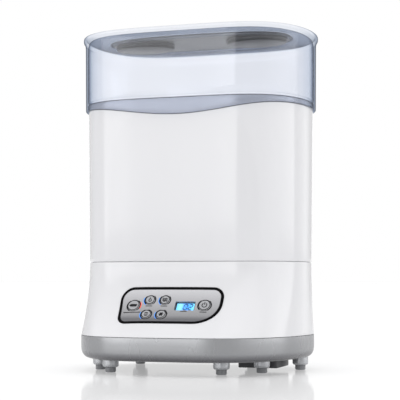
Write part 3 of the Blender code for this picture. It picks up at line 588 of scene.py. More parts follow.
def tone_by(tree, shader, value, *stops):
    """Base colour from a value, through a ramp of (place, colour) stops."""
    tree.links.new(blend_colours(tree, value, stops), shader.inputs["Base Color"])


def worn_by(tree, shader, value, *limits):
    """Roughness from a value, between limits."""
    tree.links.new(spread(tree, value, *limits), shader.inputs["Roughness"])


def add_bump(tree, shader, height, strength, distance):
    node = tree.nodes.new("ShaderNodeBump")
    node.inputs["Strength"].default_value = strength
    node.inputs["Distance"].default_value = distance * MM
    tree.links.new(height, node.inputs["Height"])
    tree.links.new(node.outputs["Normal"], shader.inputs["Normal"])


def moulded(
    name, colour, roughness, variation, grain, metallic=0.0, coat=0.0, scale=1500, gloss=0.5
):
    """Moulded plastic: faintly uneven tone, flow-marked gloss and a fine skin from the mould."""
    material, tree, shader = new_material(name, roughness, metallic, coat=coat)
    shader.inputs["Specular IOR Level"].default_value = gloss
    cloud = noise(tree, 14, 4.0, (1, 1, 0.35))
    dark, light = shaded(colour, 1 - variation), shaded(colour, 1 + variation)
    tone_by(tree, shader, cloud, (0.3, dark), (0.7, light))
    flow = noise(tree, 60, 3.0, (1, 1, 0.3))
    worn_by(tree, shader, flow, roughness * 0.85, roughness * 1.2)
    add_bump(tree, shader, noise(tree, scale, 3.0), 0.35, grain)
    return material


def flaked(name, colour, roughness, metallic, variation=0.06):
    """Silver-effect plastic: fine metallic flakes in a satin lacquer."""
    material, tree, shader = new_material(name, roughness, metallic)
    flakes = cell_pattern(tree, 2600)
    dark, light = shaded(colour, 1 - variation), shaded(colour, 1 + variation)
    tone_by(tree, shader, flakes, (0.15, light), (0.6, dark))
    uneven = noise(tree, 90, 3.0)
    worn_by(tree, shader, uneven, roughness * 0.85, roughness * 1.2)
    add_bump(tree, shader, flakes, 0.2, 0.01)
    return material


def worked_metal(name, colour, roughness, stretch=(1, 1, 1), scale=900, dark=0.8):
    """Bare metal with drawn, spun or ground lines."""
    material, tree, shader = new_material(name, roughness, 1.0)
    lines = noise(tree, scale, 4.0, stretch)
    tone_by(tree, shader, lines, (0.3, shaded(colour, dark)), (0.7, colour))
    worn_by(tree, shader, lines, roughness * 0.8, roughness * 1.3)
    add_bump(tree, shader, lines, 0.3, 0.02)
    return material


def spun_steel(name, colour, roughness):
    """Stainless steel with rings turned about the object's own Z axis."""
    material, tree, shader = new_material(name, roughness, 1.0)
    sides = [coordinate(tree, axis) for axis in "XY"]
    squares = [worked_out(tree, "MULTIPLY", side, side) for side in sides]
    distance = worked_out(tree, "SQRT", worked_out(tree, "ADD", *squares))
    rings = tree.nodes.new("ShaderNodeTexNoise")
    rings.noise_dimensions = "1D"
    rings.inputs["Scale"].default_value = 1.0
    tree.links.new(worked_out(tree, "MULTIPLY", distance, 1400), rings.inputs["W"])
    value = rings.outputs["Fac"]
    tone_by(tree, shader, value, (0.3, shaded(colour, 0.82)), (0.7, colour))
    worn_by(tree, shader, value, roughness * 0.8, roughness * 1.4)
    add_bump(tree, shader, value, 0.25, 0.02)
    return material


def clear_plastic(name, tints, roughness=0.03, face_on=0.03):
    """Clear plastic, darker where it is seen along its wall, and glossy."""
    material = bpy.data.materials.new(name)
    material.use_nodes = True
    tree = material.node_tree
    tree.nodes.remove(tree.nodes["Principled BSDF"])
    output = tree.nodes["Material Output"]
    facing = tree.nodes.new("ShaderNodeLayerWeight")
    facing.inputs["Blend"].default_value = 0.5
    film = tree.nodes.new("ShaderNodeBsdfTransparent")
    tree.links.new(blend_colours(tree, facing.outputs["Facing"], tints), film.inputs["Color"])
    gloss = tree.nodes.new("ShaderNodeBsdfGlossy")
    flow = noise(tree, 40, 3.0, (1, 1, 0.4))
    worn_by(tree, gloss, flow, roughness * 0.6, roughness * 1.6)
    # The share reflected rises along the wall, the same on its outer and inner side.
    steep = worked_out(tree, "POWER", facing.outputs["Facing"], 4.5)
    share = spread(tree, steep, face_on, 0.18, 0.0, 1.0)
    wall = mixed_shader(tree, share, film.outputs["BSDF"], gloss.outputs["BSDF"])
    tree.links.new(wall, output.inputs["Surface"])
    return material


def cover_with_painted_shade(name):
    """Silver-grey lacquer on the side of the bottom cover, with painted shade that makes it darker
    towards the underside.
    """
    material, tree, shader = new_material(name, 0.3, 0.6)
    # Painted shade: the colour darkens by height towards the underside, where shade falls.
    level = spread(tree, coordinate(tree, "Z"), 0.0, 1.0, 0.014, 0.040)
    stops = (
        (0.0, (0.09, 0.09, 0.10)),
        (0.16, (0.13, 0.13, 0.14)),
        (0.34, (0.27, 0.275, 0.285)),
        (1.0, (0.30, 0.305, 0.315)),
    )
    flakes = cell_pattern(tree, 2600)
    tone = blend_colours(tree, level, stops)
    fleck = mixed_colour(tree, spread(tree, flakes, 0.0, 0.08), tone, (0.8, 0.8, 0.82))
    tree.links.new(fleck, shader.inputs["Base Color"])
    uneven = noise(tree, 40, 2.0, (1, 1, 0.3))
    worn_by(tree, shader, uneven, 0.24, 0.30)
    add_bump(tree, shader, flakes, 0.1, 0.005)
    return material


def insert_with_painted_shade(name):
    """The lid insert's grained grey plastic, with painted shade that makes it almost black at the
    bottom of its wells.
    """
    material, tree, shader = new_material(name, 0.34)
    # Painted shade: the colour darkens by height towards the bottoms of the wells, where shade
    # falls in the recess.
    level = spread(tree, coordinate(tree, "Z"), 0.0, 1.0, 0.3552, 0.3612)
    stops = (
        (0.0, (0.012, 0.012, 0.013)),
        (0.2, (0.018, 0.018, 0.019)),
        (0.5, (0.085, 0.085, 0.084)),
        (1.0, (0.115, 0.115, 0.113)),
    )
    grain = noise(tree, 1500, 3.0)
    tone = blend_colours(tree, level, stops)
    fleck = mixed_colour(tree, spread(tree, grain, 0.0, 0.03), tone, (0.6, 0.6, 0.6))
    tree.links.new(fleck, shader.inputs["Base Color"])
    flow = noise(tree, 60, 3.0)
    worn_by(tree, shader, flow, 0.3, 0.4)
    add_bump(tree, shader, grain, 0.35, 0.03)
    return material


def panel_with_painted_light(name):
    """The panel's face: silver film, with a painted highlight along the top and painted shade along
    the bottom.
    """
    material, tree, shader = new_material(name, 0.3, 0.45)
    # Painted light: the colour rises by height from painted shade at the bottom to a painted
    # highlight at the top.
    level = spread(tree, coordinate(tree, "Z"), 0.0, 1.0, 0.050, 0.086)
    stops = (
        (0.0, (0.13, 0.13, 0.14)),
        (0.20, (0.15, 0.15, 0.16)),
        (0.30, (0.30, 0.30, 0.31)),
        (0.75, (0.46, 0.46, 0.475)),
        (1.0, (0.58, 0.58, 0.60)),
    )
    tone_by(tree, shader, level, *stops)
    flakes = cell_pattern(tree, 2400)
    worn_by(tree, shader, flakes, 0.26, 0.38, 0.1, 0.7)
    add_bump(tree, shader, flakes, 0.15, 0.008)
    return material


def glowing(name, stops, axis, span, strength):
    """A lit surface whose colour changes along one of the object's own axes."""
    material, tree, shader = new_material(name, 0.4)
    share = spread(tree, coordinate(tree, axis), 0.0, 1.0, -span / 2 * MM, span / 2 * MM)
    colour = blend_colours(tree, share, stops)
    tree.links.new(colour, shader.inputs["Base Color"])
    tree.links.new(colour, shader.inputs["Emission Color"])
    shader.inputs["Emission Strength"].default_value = strength
    add_bump(tree, shader, noise(tree, 2500, 2.0), 0.1, 0.01)
    return material


def board_surface(name, colour):
    """A circuit board: solder mask over a faint pattern of tracks."""
    material, tree, shader = new_material(name, 0.35)
    tracks = cell_pattern(tree, 260)
    stops = ((0.25, colour), (0.45, shaded(colour, 1.6)), (0.6, shaded(colour, 0.8)))
    tone_by(tree, shader, tracks, *stops)
    worn_by(tree, shader, tracks, 0.3, 0.5)
    add_bump(tree, shader, tracks, 0.4, 0.05)
    return material


def foam(name, colour):
    material, tree, shader = new_material(name, 0.95)
    cells = cell_pattern(tree, 700)
    tone_by(tree, shader, cells, (0.1, shaded(colour, 0.3)), (0.5, shaded(colour, 1.4)))
    worn_by(tree, shader, cells, 0.8, 1.0)
    add_bump(tree, shader, cells, 0.9, 0.5)
    return material


MATERIALS = {}


def add_material(maker, name, *values, **more):
    MATERIALS[name] = maker(name, *values, **more)


add_material(moulded, "gloss_white", (0.765, 0.765, 0.785), 0.12, 0.012, 0.004, coat=0.3, scale=500)
add_material(moulded, "white_polypropylene", (0.72, 0.725, 0.73), 0.35, 0.02, 0.02)
# The bottom cover's grey, with painted shade towards its underside.
add_material(cover_with_painted_shade, "satin_grey")
add_material(moulded, "collar_grey", (0.42, 0.44, 0.49), 0.2, 0.02, 0.005, metallic=0.3)
add_material(moulded, "tray_clear_grey", (0.70, 0.72, 0.74), 0.32, 0.02, 0.02)
add_material(
    clear_plastic,
    "clear_lid",
    (
        (0.0, (0.945, 0.953, 0.974)),
        (0.4, (0.93, 0.94, 0.965)),
        (0.7, (0.85, 0.875, 0.92)),
        (0.80, (0.56, 0.60, 0.67)),
        (0.88, (0.36, 0.40, 0.47)),
        (1.0, (0.08, 0.10, 0.15)),
    ),
)
# The lid insert's grey, with painted shade in the bottoms of its wells.
add_material(insert_with_painted_shade, "dark_grey")
add_material(flaked, "foot_grey", (0.50, 0.51, 0.53), 0.28, 0.5)
add_material(moulded, "foot_rubber", (0.26, 0.265, 0.28), 0.45, 0.06, 0.03)
add_material(worked_metal, "screw_steel", (0.62, 0.62, 0.64), 0.3)
add_material(spun_steel, "stainless", (0.62, 0.62, 0.63), 0.22)
add_material(moulded, "silicone", (0.70, 0.69, 0.67), 0.6, 0.03, 0.05)
add_material(worked_metal, "element_metal", (0.36, 0.33, 0.30), 0.4, dark=0.5)
add_material(moulded, "phenolic", (0.05, 0.05, 0.055), 0.42, 0.12, 0.04)
add_material(moulded, "fuse_body", (0.68, 0.64, 0.54), 0.35, 0.08, 0.02)
add_material(moulded, "duct_plastic", (0.56, 0.56, 0.54), 0.45, 0.04, 0.03)
add_material(worked_metal, "heater_aluminium", (0.74, 0.74, 0.75), 0.32, (1, 1, 0.05))
add_material(foam, "filter_foam", (0.2, 0.21, 0.23))
add_material(moulded, "bezel_black", (0.002, 0.002, 0.0025), 0.25, 0.1, 0.003, gloss=0.05)
# The panel face's silver, with a painted highlight along its top and painted shade along its
# bottom.
add_material(panel_with_painted_light, "panel_silver")
add_material(flaked, "button_silver", (0.40, 0.405, 0.42), 0.3, 0.45, 0.05)
add_material(
    clear_plastic,
    "display_blue",
    ((0.0, (0.96, 0.98, 1.0)), (0.7, (0.85, 0.92, 1.0)), (1.0, (0.3, 0.4, 0.5)))
)
add_material(
    glowing,
    "display_body",
    (
        (0.0, (0.16, 0.62, 0.95)),
        (0.2, (0.30, 0.78, 1.0)),
        (0.5, (0.05, 0.33, 0.92)),
        (0.8, (0.08, 0.50, 0.98)),
        (1.0, (0.25, 0.80, 1.0)),
    ),
    "X",
    19.0,
    0.75,
)
add_material(board_surface, "circuit_board", (0.03, 0.14, 0.06))
add_material(moulded, "lead_grey", (0.62, 0.62, 0.62), 0.45, 0.04, 0.02)
add_material(moulded, "lead_red", (0.50, 0.04, 0.03), 0.45, 0.06, 0.02)
PRINT_INK = moulded("print_ink", (0.012, 0.012, 0.014), 0.5, 0.15, 0.01, gloss=0.1)
# Painted shade: the dark grey of the strips that stand in for shadow along the collar's seams.
SEAM_SHADE_GREY = moulded("seam_shade_grey", (0.10, 0.105, 0.12), 0.4, 0.1, 0.01)
DIGIT_INK = moulded("digit_ink", (0.001, 0.006, 0.09), 0.5, 0.15, 0.005, gloss=0.1)
BLUES = ((0.0, (0.05, 0.25, 0.9)), (1.0, (0.15, 0.45, 1.0)))
REDS = ((0.0, (0.9, 0.08, 0.06)), (1.0, (1.0, 0.2, 0.15)))
BLUE_GLOW = glowing("blue_glow", BLUES, "Y", 12.0, 0.35)
RED_GLOW = glowing("red_glow", REDS, "Y", 12.0, 0.45)

for row in frame["record"]["subparts"]:
    node = frame["nodes"][row["node"]]
    node.material_slots[0].material = MATERIALS[row["material_slot"]]


# ---------------------------------------------------------------- the front's surface


def front_depth(x, z):
    """How far the base's front lies in front of the axis, at a place across and a height."""
    low, high = math.pi, 2 * math.pi
    for _ in range(40):
        middle = (low + high) / 2
        if base_point(middle, z, 0).x < x:
            low = middle
        else:
            high = middle
    return -base_point(low, z, 0).y


def panel_axes(normal):
    """Axes of a face on the front: x across, y up the slope, z out along the normal."""
    across = Vector((1, 0, 0))
    across = (across - across.dot(normal) * normal).normalized()
    return Matrix((across, normal.cross(across), normal)).transposed()


PANEL_ORIGIN = Vector((0, -front_depth(0, PANEL_Z), PANEL_Z))
PANEL_TURN = panel_axes(Vector((0, -math.cos(PANEL_LEAN), math.sin(PANEL_LEAN))))
PANEL_PLACE = Matrix.Translation(PANEL_ORIGIN) @ PANEL_TURN.to_4x4()


def surface_point(u, v):
    """The point of the front seen square to the panel at (u, v) in metres, and its normal."""
    near, far = 20 * MM, -20 * MM
    for _ in range(26):
        middle = (near + far) / 2
        point = PANEL_ORIGIN + PANEL_TURN @ Vector((u, v, middle))
        if -point.y > front_depth(point.x, point.z):
            near = middle
        else:
            far = middle
    point = PANEL_ORIGIN + PANEL_TURN @ Vector((u, v, near))
    x, z, step = point.x, point.z, 0.5 * MM
    tilt_x = (front_depth(x + step, z) - front_depth(x - step, z)) / (2 * step)
    tilt_z = (front_depth(x, z + step) - front_depth(x, z - step)) / (2 * step)
    return point, Vector((-tilt_x, -1, -tilt_z)).normalized()


def surface_frame(u, v):
    """The matrix that stands a part on the front at (u, v) in mm, square to it."""
    point, normal = surface_point(u * MM, v * MM)
    return AXIS @ Matrix.Translation(point) @ panel_axes(normal).to_4x4()


def front_shell(outer, inner):
    """The base's wall between two insets, over the heights of the panel."""
    heights = [z * MM for z in range(34, 106, 3)]
    rings = [base_ring(z, outer * MM) for z in heights]
    rings += [base_ring(z, inner * MM) for z in reversed(heights)]
    return loft(rings)


# ---------------------------------------------------------------- shells of the base


def make_base_housing():
    low, top = TRAY_SEAM + 0.15, SLEEVE_SEAM - 0.15
    levels = [(low + (top - low) * i / 26, 0) for i in range(1, 26)]
    profile = [(low, 0, 0.5)] + [(z, inset, 0) for z, inset in levels]
    profile += [(top, 0, 1.0), (top, 3.5, 0.3), (122, 3.5, 0.5), (122, 5.2, 0.4), (top, 5.4, 0)]
    profile += [(top, 12, 0), (top - 2.5, 12, 0.5), (top - 2.5, 2.5, 1.0)]
    profile += [(z, 2.5, 0) for z, _ in reversed(levels[:-1])] + [(low, 2.5, 0)]
    shell = shell_of(profile)
    posts = [(x, y, 3.5, 20.3, top - 1.2) for x, y in POSTS]
    holes = [(x, y, 2.0, 17.5, 34) for x, y in POSTS]
    x, z = INLET
    slot = ((x - 11.3, 70, z - 7.8), (x + 11.3, 95, z + 7.8))
    mesh = carved(
        shell,
        ("UNION", rounds(posts)),
        ("DIFFERENCE", rounds(holes, 24)),
        ("DIFFERENCE", prism(panel_outline(-0.3), -14 * MM, 14 * MM), PANEL_PLACE),
        ("DIFFERENCE", boxes([slot], 0.6)),
    )
    piece("housing_shell", mesh, "base", "gloss_white", ["base_housing"])


def make_bottom_cover():
    top = TRAY_SEAM - 0.15
    profile = [(14.0, 12.0, 0), (14.1, 9.0, 1.5), (15.6, 4.2, 2.4), (19.4, 1.1, 2.4), (24.5, 0, 3)]
    profile += [(31, 0, 0), (top, 0, 0.6), (top, 2.9, 0.3), (42, 2.9, 0.5), (42, 4.2, 0.5)]
    profile += [(24.5, 4.3, 2), (19.2, 5.4, 2), (16.9, 9.0, 1), (16.5, 13.0, 0)]
    shell = shell_of(profile, closed=False)
    bosses = [(x, y, 4.8, 16.2, 20) for x, y in POSTS]
    bosses += [(x, y, 3.0, 16.2, 23.7) for x, y in BOARD_POSTS]
    wide = [(x, y, 3.3, 10, 17) for x, y in POSTS]
    narrow = [(x, y, 2.0, 16, 22) for x, y in POSTS]
    slots = []
    for offset in SLOT_OFFSETS:
        x, y = FILTER[0] + offset, FILTER[1]
        slots.append(((x - 2.6, y - 19, 10), (x + 2.6, y + 19, 20)))
    mesh = carved(
        shell,
        ("UNION", rounds(bosses)),
        ("DIFFERENCE", rounds(wide)),
        ("DIFFERENCE", rounds(narrow)),
        ("DIFFERENCE", boxes(slots)),
    )
    piece("bottom_tray", mesh, "base", "satin_grey", ["bottom_cover"])


def make_feet():
    upper = ((0, 13.7, 0), (8.5, 13.7, 0.3), (8.5, 6.8, 1.0), (7.2, 5.3, 0.6), (0, 5.3, 0))
    lower = [(0, 5.0, 0), (5.6, 5.0, 0.2), (5.6, 0.6, 0.5), (4.9, 0, 0.4), (2.6, 0, 0)]
    lower += [(2.2, 0.5, 0.2), (0, 0.5, 0)]
    for number, (x, y) in enumerate(FEET, start=1):
        place = standing(x, y)
        node = f"foot_{number}"
        piece(f"foot_cup_{number}", turned(upper), "base", "foot_grey", [node], place)
        node = f"foot_pad_{number}"
        piece(f"foot_sole_{number}", turned(lower), "base", "foot_rubber", [node], place)


def make_case_screws():
    shape = [(0, 31, 0), (1.5, 31, 0), (1.5, 16.6, 0), (2.8, 16.6, 0.1), (2.8, 15.0, 0.5)]
    shape += [(0, 14.5, 0)]
    recess = boxes([((-1.5, -0.35, 13), (1.5, 0.35, 15.6)), ((-0.35, -1.5, 13), (0.35, 1.5, 15.6))])
    for number, (x, y) in enumerate(POSTS, start=1):
        mesh = carved(turned(shape, 40), ("DIFFERENCE", recess.copy()))
        node = f"case_screw_{number}"
        piece(f"cross_screw_{number}", mesh, "base", "screw_steel", [node], standing(x, y))


def make_filter_cover():
    rows = [(4.2, 0.5), (4.7, 0), (13.7, 0), (13.7, 2), (6.2, 2)]
    slots = [((offset - 2.2, -20, 0), (offset + 2.2, 20, 8)) for offset in SLOT_OFFSETS]
    mesh = carved(stepped_block(43, 52, 3, rows, 0.8), ("DIFFERENCE", boxes(slots)))
    piece("filter_grille", mesh, "filter", "phenolic", ["filter_cover"], standing(*FILTER))


# ---------------------------------------------------------------- deck, heater and outlet


def make_deck():
    profile = [(105.8, 17.2, 0), (107.4, 14.8, 1), (116.25, 12.6, 0.5), (116.25, 5.9, 0.4)]
    profile += [(118.2, 5.9, 0.6), (118.2, 13.2, 0.8), (109.8, 17.0, 1.5), (108.0, 18.8, 1)]
    shell = shell_of(profile + [(108.0, 24, 0)], closed=False)
    holes = [(*HEATER, 50.5, 100, 112), (*OUTLET, 11, 100, 112), (*SENSOR, 3.3, 100, 112)]
    mesh = carved(shell, ("DIFFERENCE", rounds(holes, 96)))
    piece("deck_pan", mesh, "base", "white_polypropylene", ["deck_plate"])
    dish = [(0, 102.9, 0), (46, 102.9, 2), (48.8, 104.6, 2), (48.8, 110.6, 1), (55.5, 110.6, 0.4)]
    dish += [(55.5, 109.6, 0), (49.9, 109.6, 0.8), (49.9, 103.2, 2), (47.4, 101.5, 2)]
    dish += [(0, 101.5, 0)]
    mesh, place = turned(dish, 128), standing(*HEATER)
    piece("heating_dish", mesh, "base", "stainless", ["heater_plate"], place)
    hood = [(0, 124.0, 0), (8, 123.2, 2), (12.4, 120.6, 3), (13.5, 117.6, 2), (13.5, 108.3, 0.4)]
    hood += [(11.3, 108.3, 0), (11.3, 117.2, 2), (7.6, 120.4, 2), (0, 121.4, 0)]
    steps = []
    for turn in range(4):
        slot = boxes([((-20, -2.5, 110), (20, 2.5, 116))])
        steps.append(("DIFFERENCE", slot, Matrix.Rotation(math.pi / 4 * turn, 4, "Z")))
    mesh, place = carved(turned(hood, 72), *steps), standing(*OUTLET)
    piece("air_hood", mesh, "base", "white_polypropylene", ["outlet_hood"], place)


# ---------------------------------------------------------------- control panel


def make_bezel():
    """A rounded frame swept round the panel's outline, over the curved front."""
    section = [(0, -2.4), (0, 0.5), (0.3, 0.85), (0.8, 1.0)]
    section += [(1.8, 1.0), (2.3, 0.85), (2.6, 0.5), (2.6, -2.4)]
    rings = []
    for inset, proud in section:
        ring = []
        for u, v in panel_outline(inset):
            point, normal = surface_point(u, v)
            ring.append(point + normal * proud * MM)
        rings.append(ring)
    lengths = {len(ring) for ring in rings}
    if len(lengths) > 1:
        raise ValueError(f"the bezel's rings differ in length: {lengths}")
    mesh = loft(rings)
    piece("bezel_frame", mesh, "base", "bezel_black", ["panel_bezel"])


def make_face():
    outline = panel_outline(2.9)
    steps = [("INTERSECT", front_shell(-0.2, 2.5))]
    for _, u, v, radius, _ in BUTTONS:
        place = AXIS.inverted() @ surface_frame(u, v)
        steps.append(("DIFFERENCE", rounds([(0, 0, radius + 0.5, -8, 8)], 64), place))
    u, v, width, height = DISPLAY
    hole = prism([p * MM for p in rectangle(width + 0.6, height + 0.6, 0.9)], -8 * MM, 8 * MM)
    steps.append(("DIFFERENCE", hole, AXIS.inverted() @ surface_frame(u, v)))
    plate = prism(outline, -12 * MM, 12 * MM)
    plate.transform(PANEL_PLACE)
    mesh = carved(plate, *steps)
    piece("panel_film", mesh, "base", "panel_silver", ["panel_face"])


def arc(radius, start, end, steps=24, centre=(0, 0)):
    """Points of an arc in mm, at the height of a mark on a cap."""
    turns = [math.radians(start + (end - start) * i / steps) for i in range(steps + 1)]
    return [(centre[0] + radius * math.cos(t), centre[1] + radius * math.sin(t)) for t in turns]


def sign_lines(sign):
    """Strokes of a button's sign, each a list of places in mm on a cap of radius 5.4."""
    if sign == "power":
        return [arc(2.1, 125, 415), [(0, 0.6), (0, 2.9)]]
    if sign == "stop":
        frame_line = [(-2.6, -0.9), (2.6, -0.9), (2.6, 0.9), (-2.6, 0.9), (-2.6, -0.9)]
        return [frame_line, [(-3.6, 0), (3.6, 0)]]
    if sign == "drop":
        return [arc(1.35, -215, 35, centre=(0, -0.7)) + [(0, 2.4), (-1.1, 0.07)]]
    if sign == "waves":
        rows = []
        for level in (-1.5, 0, 1.5):
            rows.append([(x / 4, level + 0.45 * math.sin(x * 0.55)) for x in range(-11, 12)])
        return rows
    if sign == "cycle":
        return [arc(2.0, 20, 160), arc(2.0, 200, 340), [(-0.8, -0.5), (0.8, 0.5)]]
    blades = []
    for turn in range(0, 360, 60):
        way = math.radians(turn)
        side = way + 0.42
        tip = (2.7 * math.cos(way), 2.7 * math.sin(way))
        near = (1.5 * math.cos(side), 1.5 * math.sin(side))
        blades.append([(0, 0), tip, near, (0, 0)])
    return blades


def cap_height(distance, radius):
    """Height of a cap's dished top at a distance from its middle, in mm."""
    rim = radius - 1.5
    return 1.1 - 0.45 * max(0.0, 1 - (distance / rim) ** 2) if distance < rim else 1.05


def make_buttons():
    for name, u, v, radius, sign in BUTTONS:
        place = surface_frame(u, v)
        rim = radius - 1.5
        steps = [rim * i / 6 for i in range(1, 7)]
        dish = [(0, 0.65, 0)] + [(step, cap_height(step * 0.999, radius), 0) for step in steps]
        side = [(radius - 0.7, 1.0, 0.25), (radius, 0.2, 0.5), (radius, -3.4, 0.2), (1.5, -3.4, 0)]
        side += [(1.5, -5.2, 0.2), (0, -5.2, 0)]
        key = turned(dish + side, 72)
        cap = piece(name.replace("button", "key"), key, name, "button_silver", [name], place)
        rows = arc(radius - 0.75, 0, 360, 71)[:-1]
        ring = sweep([Vector((x, y, 0.95)) * MM for x, y in rows], 0.35 * MM, closed=True)
        marks = [ring]
        for line in sign_lines(sign):
            scale = radius / 5.4
            points = []
            for x, y in line:
                x, y = x * scale, y * scale
                height = cap_height(math.hypot(x, y), radius)
                points.append(Vector((x, y, height)) * MM)
            marks.append(sweep(points, 0.42 * MM))
        label, mesh = name.replace("button", "sign"), joined(marks)
        mark = piece(label, mesh, name, "bezel_black", (), place, PRINT_INK)
        mark.parent = cap
        mark.matrix_parent_inverse = cap.matrix_world.inverted()
        del mark["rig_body"]


def make_panel_marks():
    """Dark rings and lit crescents round the keys, and plain bars beside them."""
    bars = []
    for name, u, v, radius, _ in BUTTONS:
        place = surface_frame(u, v)
        well = [(radius + 0.45, 0.25, 0), (radius + 1.15, 0.3, 0.2), (radius + 1.15, 0.16, 0)]
        well += [(radius + 0.45, 0.1, 0), (radius + 0.45, 0.25, 0)]
        ring = turned(well, 72)
        piece(name.replace("button", "ring"), ring, "base", "bezel_black", (), place, PRINT_INK)
        red = name == "stop_button"
        if name != "power_button":
            start, end = (-28, 30) if red else (155, 235)
            rows = arc(radius + 1.55, start, end)
            glow = sweep([Vector((x, y, 0.16)) * MM for x, y in rows], 0.38 * MM)
            glow_of = RED_GLOW if red else BLUE_GLOW
            piece(name.replace("button", "glow"), glow, "base", "display_body", (), place, glow_of)
        if name not in ("auto_button", "fan_button"):
            bars.append((u, v - radius - 2.0, 9.5 if red else 3.6))
    u, v, _, height = DISPLAY
    bars.append((u, v - height / 2 - 1.6, 3.4))
    meshes = []
    for u, v, half in bars:
        bar = prism([p * MM for p in rectangle(2 * half, 0.7, 0.2)], 0.1 * MM, 0.36 * MM)
        bar.transform(AXIS.inverted() @ surface_frame(u, v))
        meshes.append(bar)
    piece("panel_bars", joined(meshes), "base", "bezel_black", material=PRINT_INK)


def digit_segments(shape):
    """Bars of a seven-segment digit in mm about its own middle, for the lit segments named."""
    wide, tall, thick = 1.9, 3.3, 0.5
    ends = {
        "a": ((-wide, tall), (wide, tall)), "d": ((-wide, -tall), (wide, -tall)),
        "g": ((-wide, 0), (wide, 0)), "b": ((wide, tall), (wide, 0)),
        "c": ((wide, 0), (wide, -tall)), "e": ((-wide, 0), (-wide, -tall)),
        "f": ((-wide, tall), (-wide, 0)),
    }
    slant = 0.16
    meshes = []
    for key in shape:
        (x1, y1), (x2, y2) = ends[key]
        start, end = Vector((x1 + slant * y1, y1)), Vector((x2 + slant * y2, y2))
        along = (end - start).normalized()
        side = Vector((-along.y, along.x)) * thick
        start, end = start + along * 0.25, end - along * 0.25
        points = [start, start + along * thick + side, end - along * thick + side]
        points += [end, end - along * thick - side, start + along * thick - side]
        meshes.append(prism([p * MM for p in points], -1.98 * MM, -1.80 * MM))
    return meshes


def make_display():
    u, v, width, height = DISPLAY
    place = surface_frame(u, v)
    outline = [p * MM for p in rectangle(width, height, 0.8)]
    window = prism(outline, -1.7 * MM, 0.1 * MM, 0.1 * MM)
    piece("display_pane", window, "base", "display_blue", ["display_window"], place)
    half_x, half_y = width / 2 - 1, height / 2 - 0.6
    module = boxes([((-half_x, -half_y, -5.2), (half_x, half_y, -2.0))], 0.2)
    piece("display_cell", module, "base", "display_body", ["display_module"], place)
    digits = []
    for offset, segments in ((0.2, "abcdef"), (5.6, "abged")):
        for mesh in digit_segments(segments):
            mesh.transform(Matrix.Translation((offset * MM, 0, 0)))
            digits.append(mesh)
    piece("display_digits", joined(digits), "base", "display_body", (), place, DIGIT_INK)
    outer, inner = rectangle(width, height, 0.8), rectangle(width - 1.8, height - 1.4, 0.5)
    rings = []
    for shape, z in ((outer, -2.0), (outer, -1.75), (inner, -1.75), (inner, -2.0)):
        rings.append([Vector((x, y, z)) * MM for x, y in shape])
    piece("display_border", loft(rings), "base", "bezel_black", (), place, PRINT_INK)


# ---------------------------------------------------------------- the stack


def make_sleeve():
    foot = SLEEVE_SEAM + 0.15
    profile = on_stack([(foot, 8.15, 0.9), (120, 7.95, 0), (200, 6.95, 0)])
    profile += on_stack([(WAVE_LOW - 0.3, 6.0, 0.4), (WAVE_LOW - 0.3, 8.1, 0.2)], WAVE_RISE)
    profile += on_stack([(285, 8.1, 0.6), (285, 10, 0.6), (262, 10, 3), (250, 8.95, 3)])
    profile += on_stack([(foot, 10.6, 0.5)])
    mesh = shell_of(profile)
    piece("sleeve_shell", mesh, "sleeve", "gloss_white", ["bottle_sleeve"])


def make_collar():
    skin, top = SLEEVE_TOP_INSET - 0.1, COLLAR_TOP
    profile = on_stack([(WAVE_LOW, skin, 0.3)], WAVE_RISE)
    profile += on_stack([(top, skin, 1.2), (top, 9.2, 0.4), (top - 1.8, 9.2, 0.4)])
    profile += on_stack([(top - 1.8, 14.2, 0.5), (top - 3.1, 14.2, 0.5), (top - 3.1, 7.8, 0)])
    profile += on_stack([(WAVE_LOW, 7.8, 0.2)], WAVE_RISE)
    mesh = shell_of(profile)
    piece("collar_band", mesh, "sleeve", "collar_grey", ["collar_ring"])


def make_collar_seam_shade():
    """Thin dark strips along the collar's lower and upper edge: painted shade standing in for the
    shadow in the seams.
    """
    lower = on_stack([(WAVE_LOW - 0.55, 5.95, 0.2), (WAVE_LOW + 0.25, 5.75, 0.2)], WAVE_RISE)
    lower += on_stack([(WAVE_LOW + 0.25, 6.5, 0), (WAVE_LOW - 0.55, 6.5, 0)], WAVE_RISE)
    upper = on_stack([(COLLAR_TOP - 0.7, 5.75, 0.2), (COLLAR_TOP, 5.75, 0.3), (COLLAR_TOP, 7.5, 0)])
    upper += on_stack([(COLLAR_TOP - 0.7, 7.5, 0)])
    rings = [shell_of(rows) for rows in (lower, upper)]
    piece("collar_seam_shade", joined(rings), "sleeve", "collar_grey", material=SEAM_SHADE_GREY)


def make_rack():
    plate = 127.0
    profile = on_stack([(plate, 14.5, 0), (plate + 2, 12.6, 1), (plate + 12, 12.4, 0.8)])
    profile += on_stack([(plate + 12, 14.4, 0.8), (plate + 4, 14.8, 1), (plate + 2.2, 16.8, 0)])
    shell = shell_of(profile, closed=False)
    posts = [(x, y, 4, 108.3, plate + 1) for x in (-80, 80) for y in (-42, 42)]
    slots = [((x - 4, -34, plate - 1), (x + 4, 34, plate + 8)) for x in (-91, -49, -21, 21, 49, 91)]
    steps = [("UNION", rounds(posts, 32))]
    steps.append(("DIFFERENCE", boxes(slots, 1.5)))
    prong = turned([(0, 205, 0), (3.2, 205, 2.4), (3.2, plate + 1, 0), (0, plate + 1, 0)], 32)
    for x in (-70, 0, 70):
        for y in (-26, 26):
            place = Matrix.Translation((x * MM, y * MM, 0))
            steps.append(("UNION", prong.copy(), place))
    mesh = carved(shell, *steps)
    piece("bottle_basket", mesh, "rack", "white_polypropylene", ["bottle_rack"])


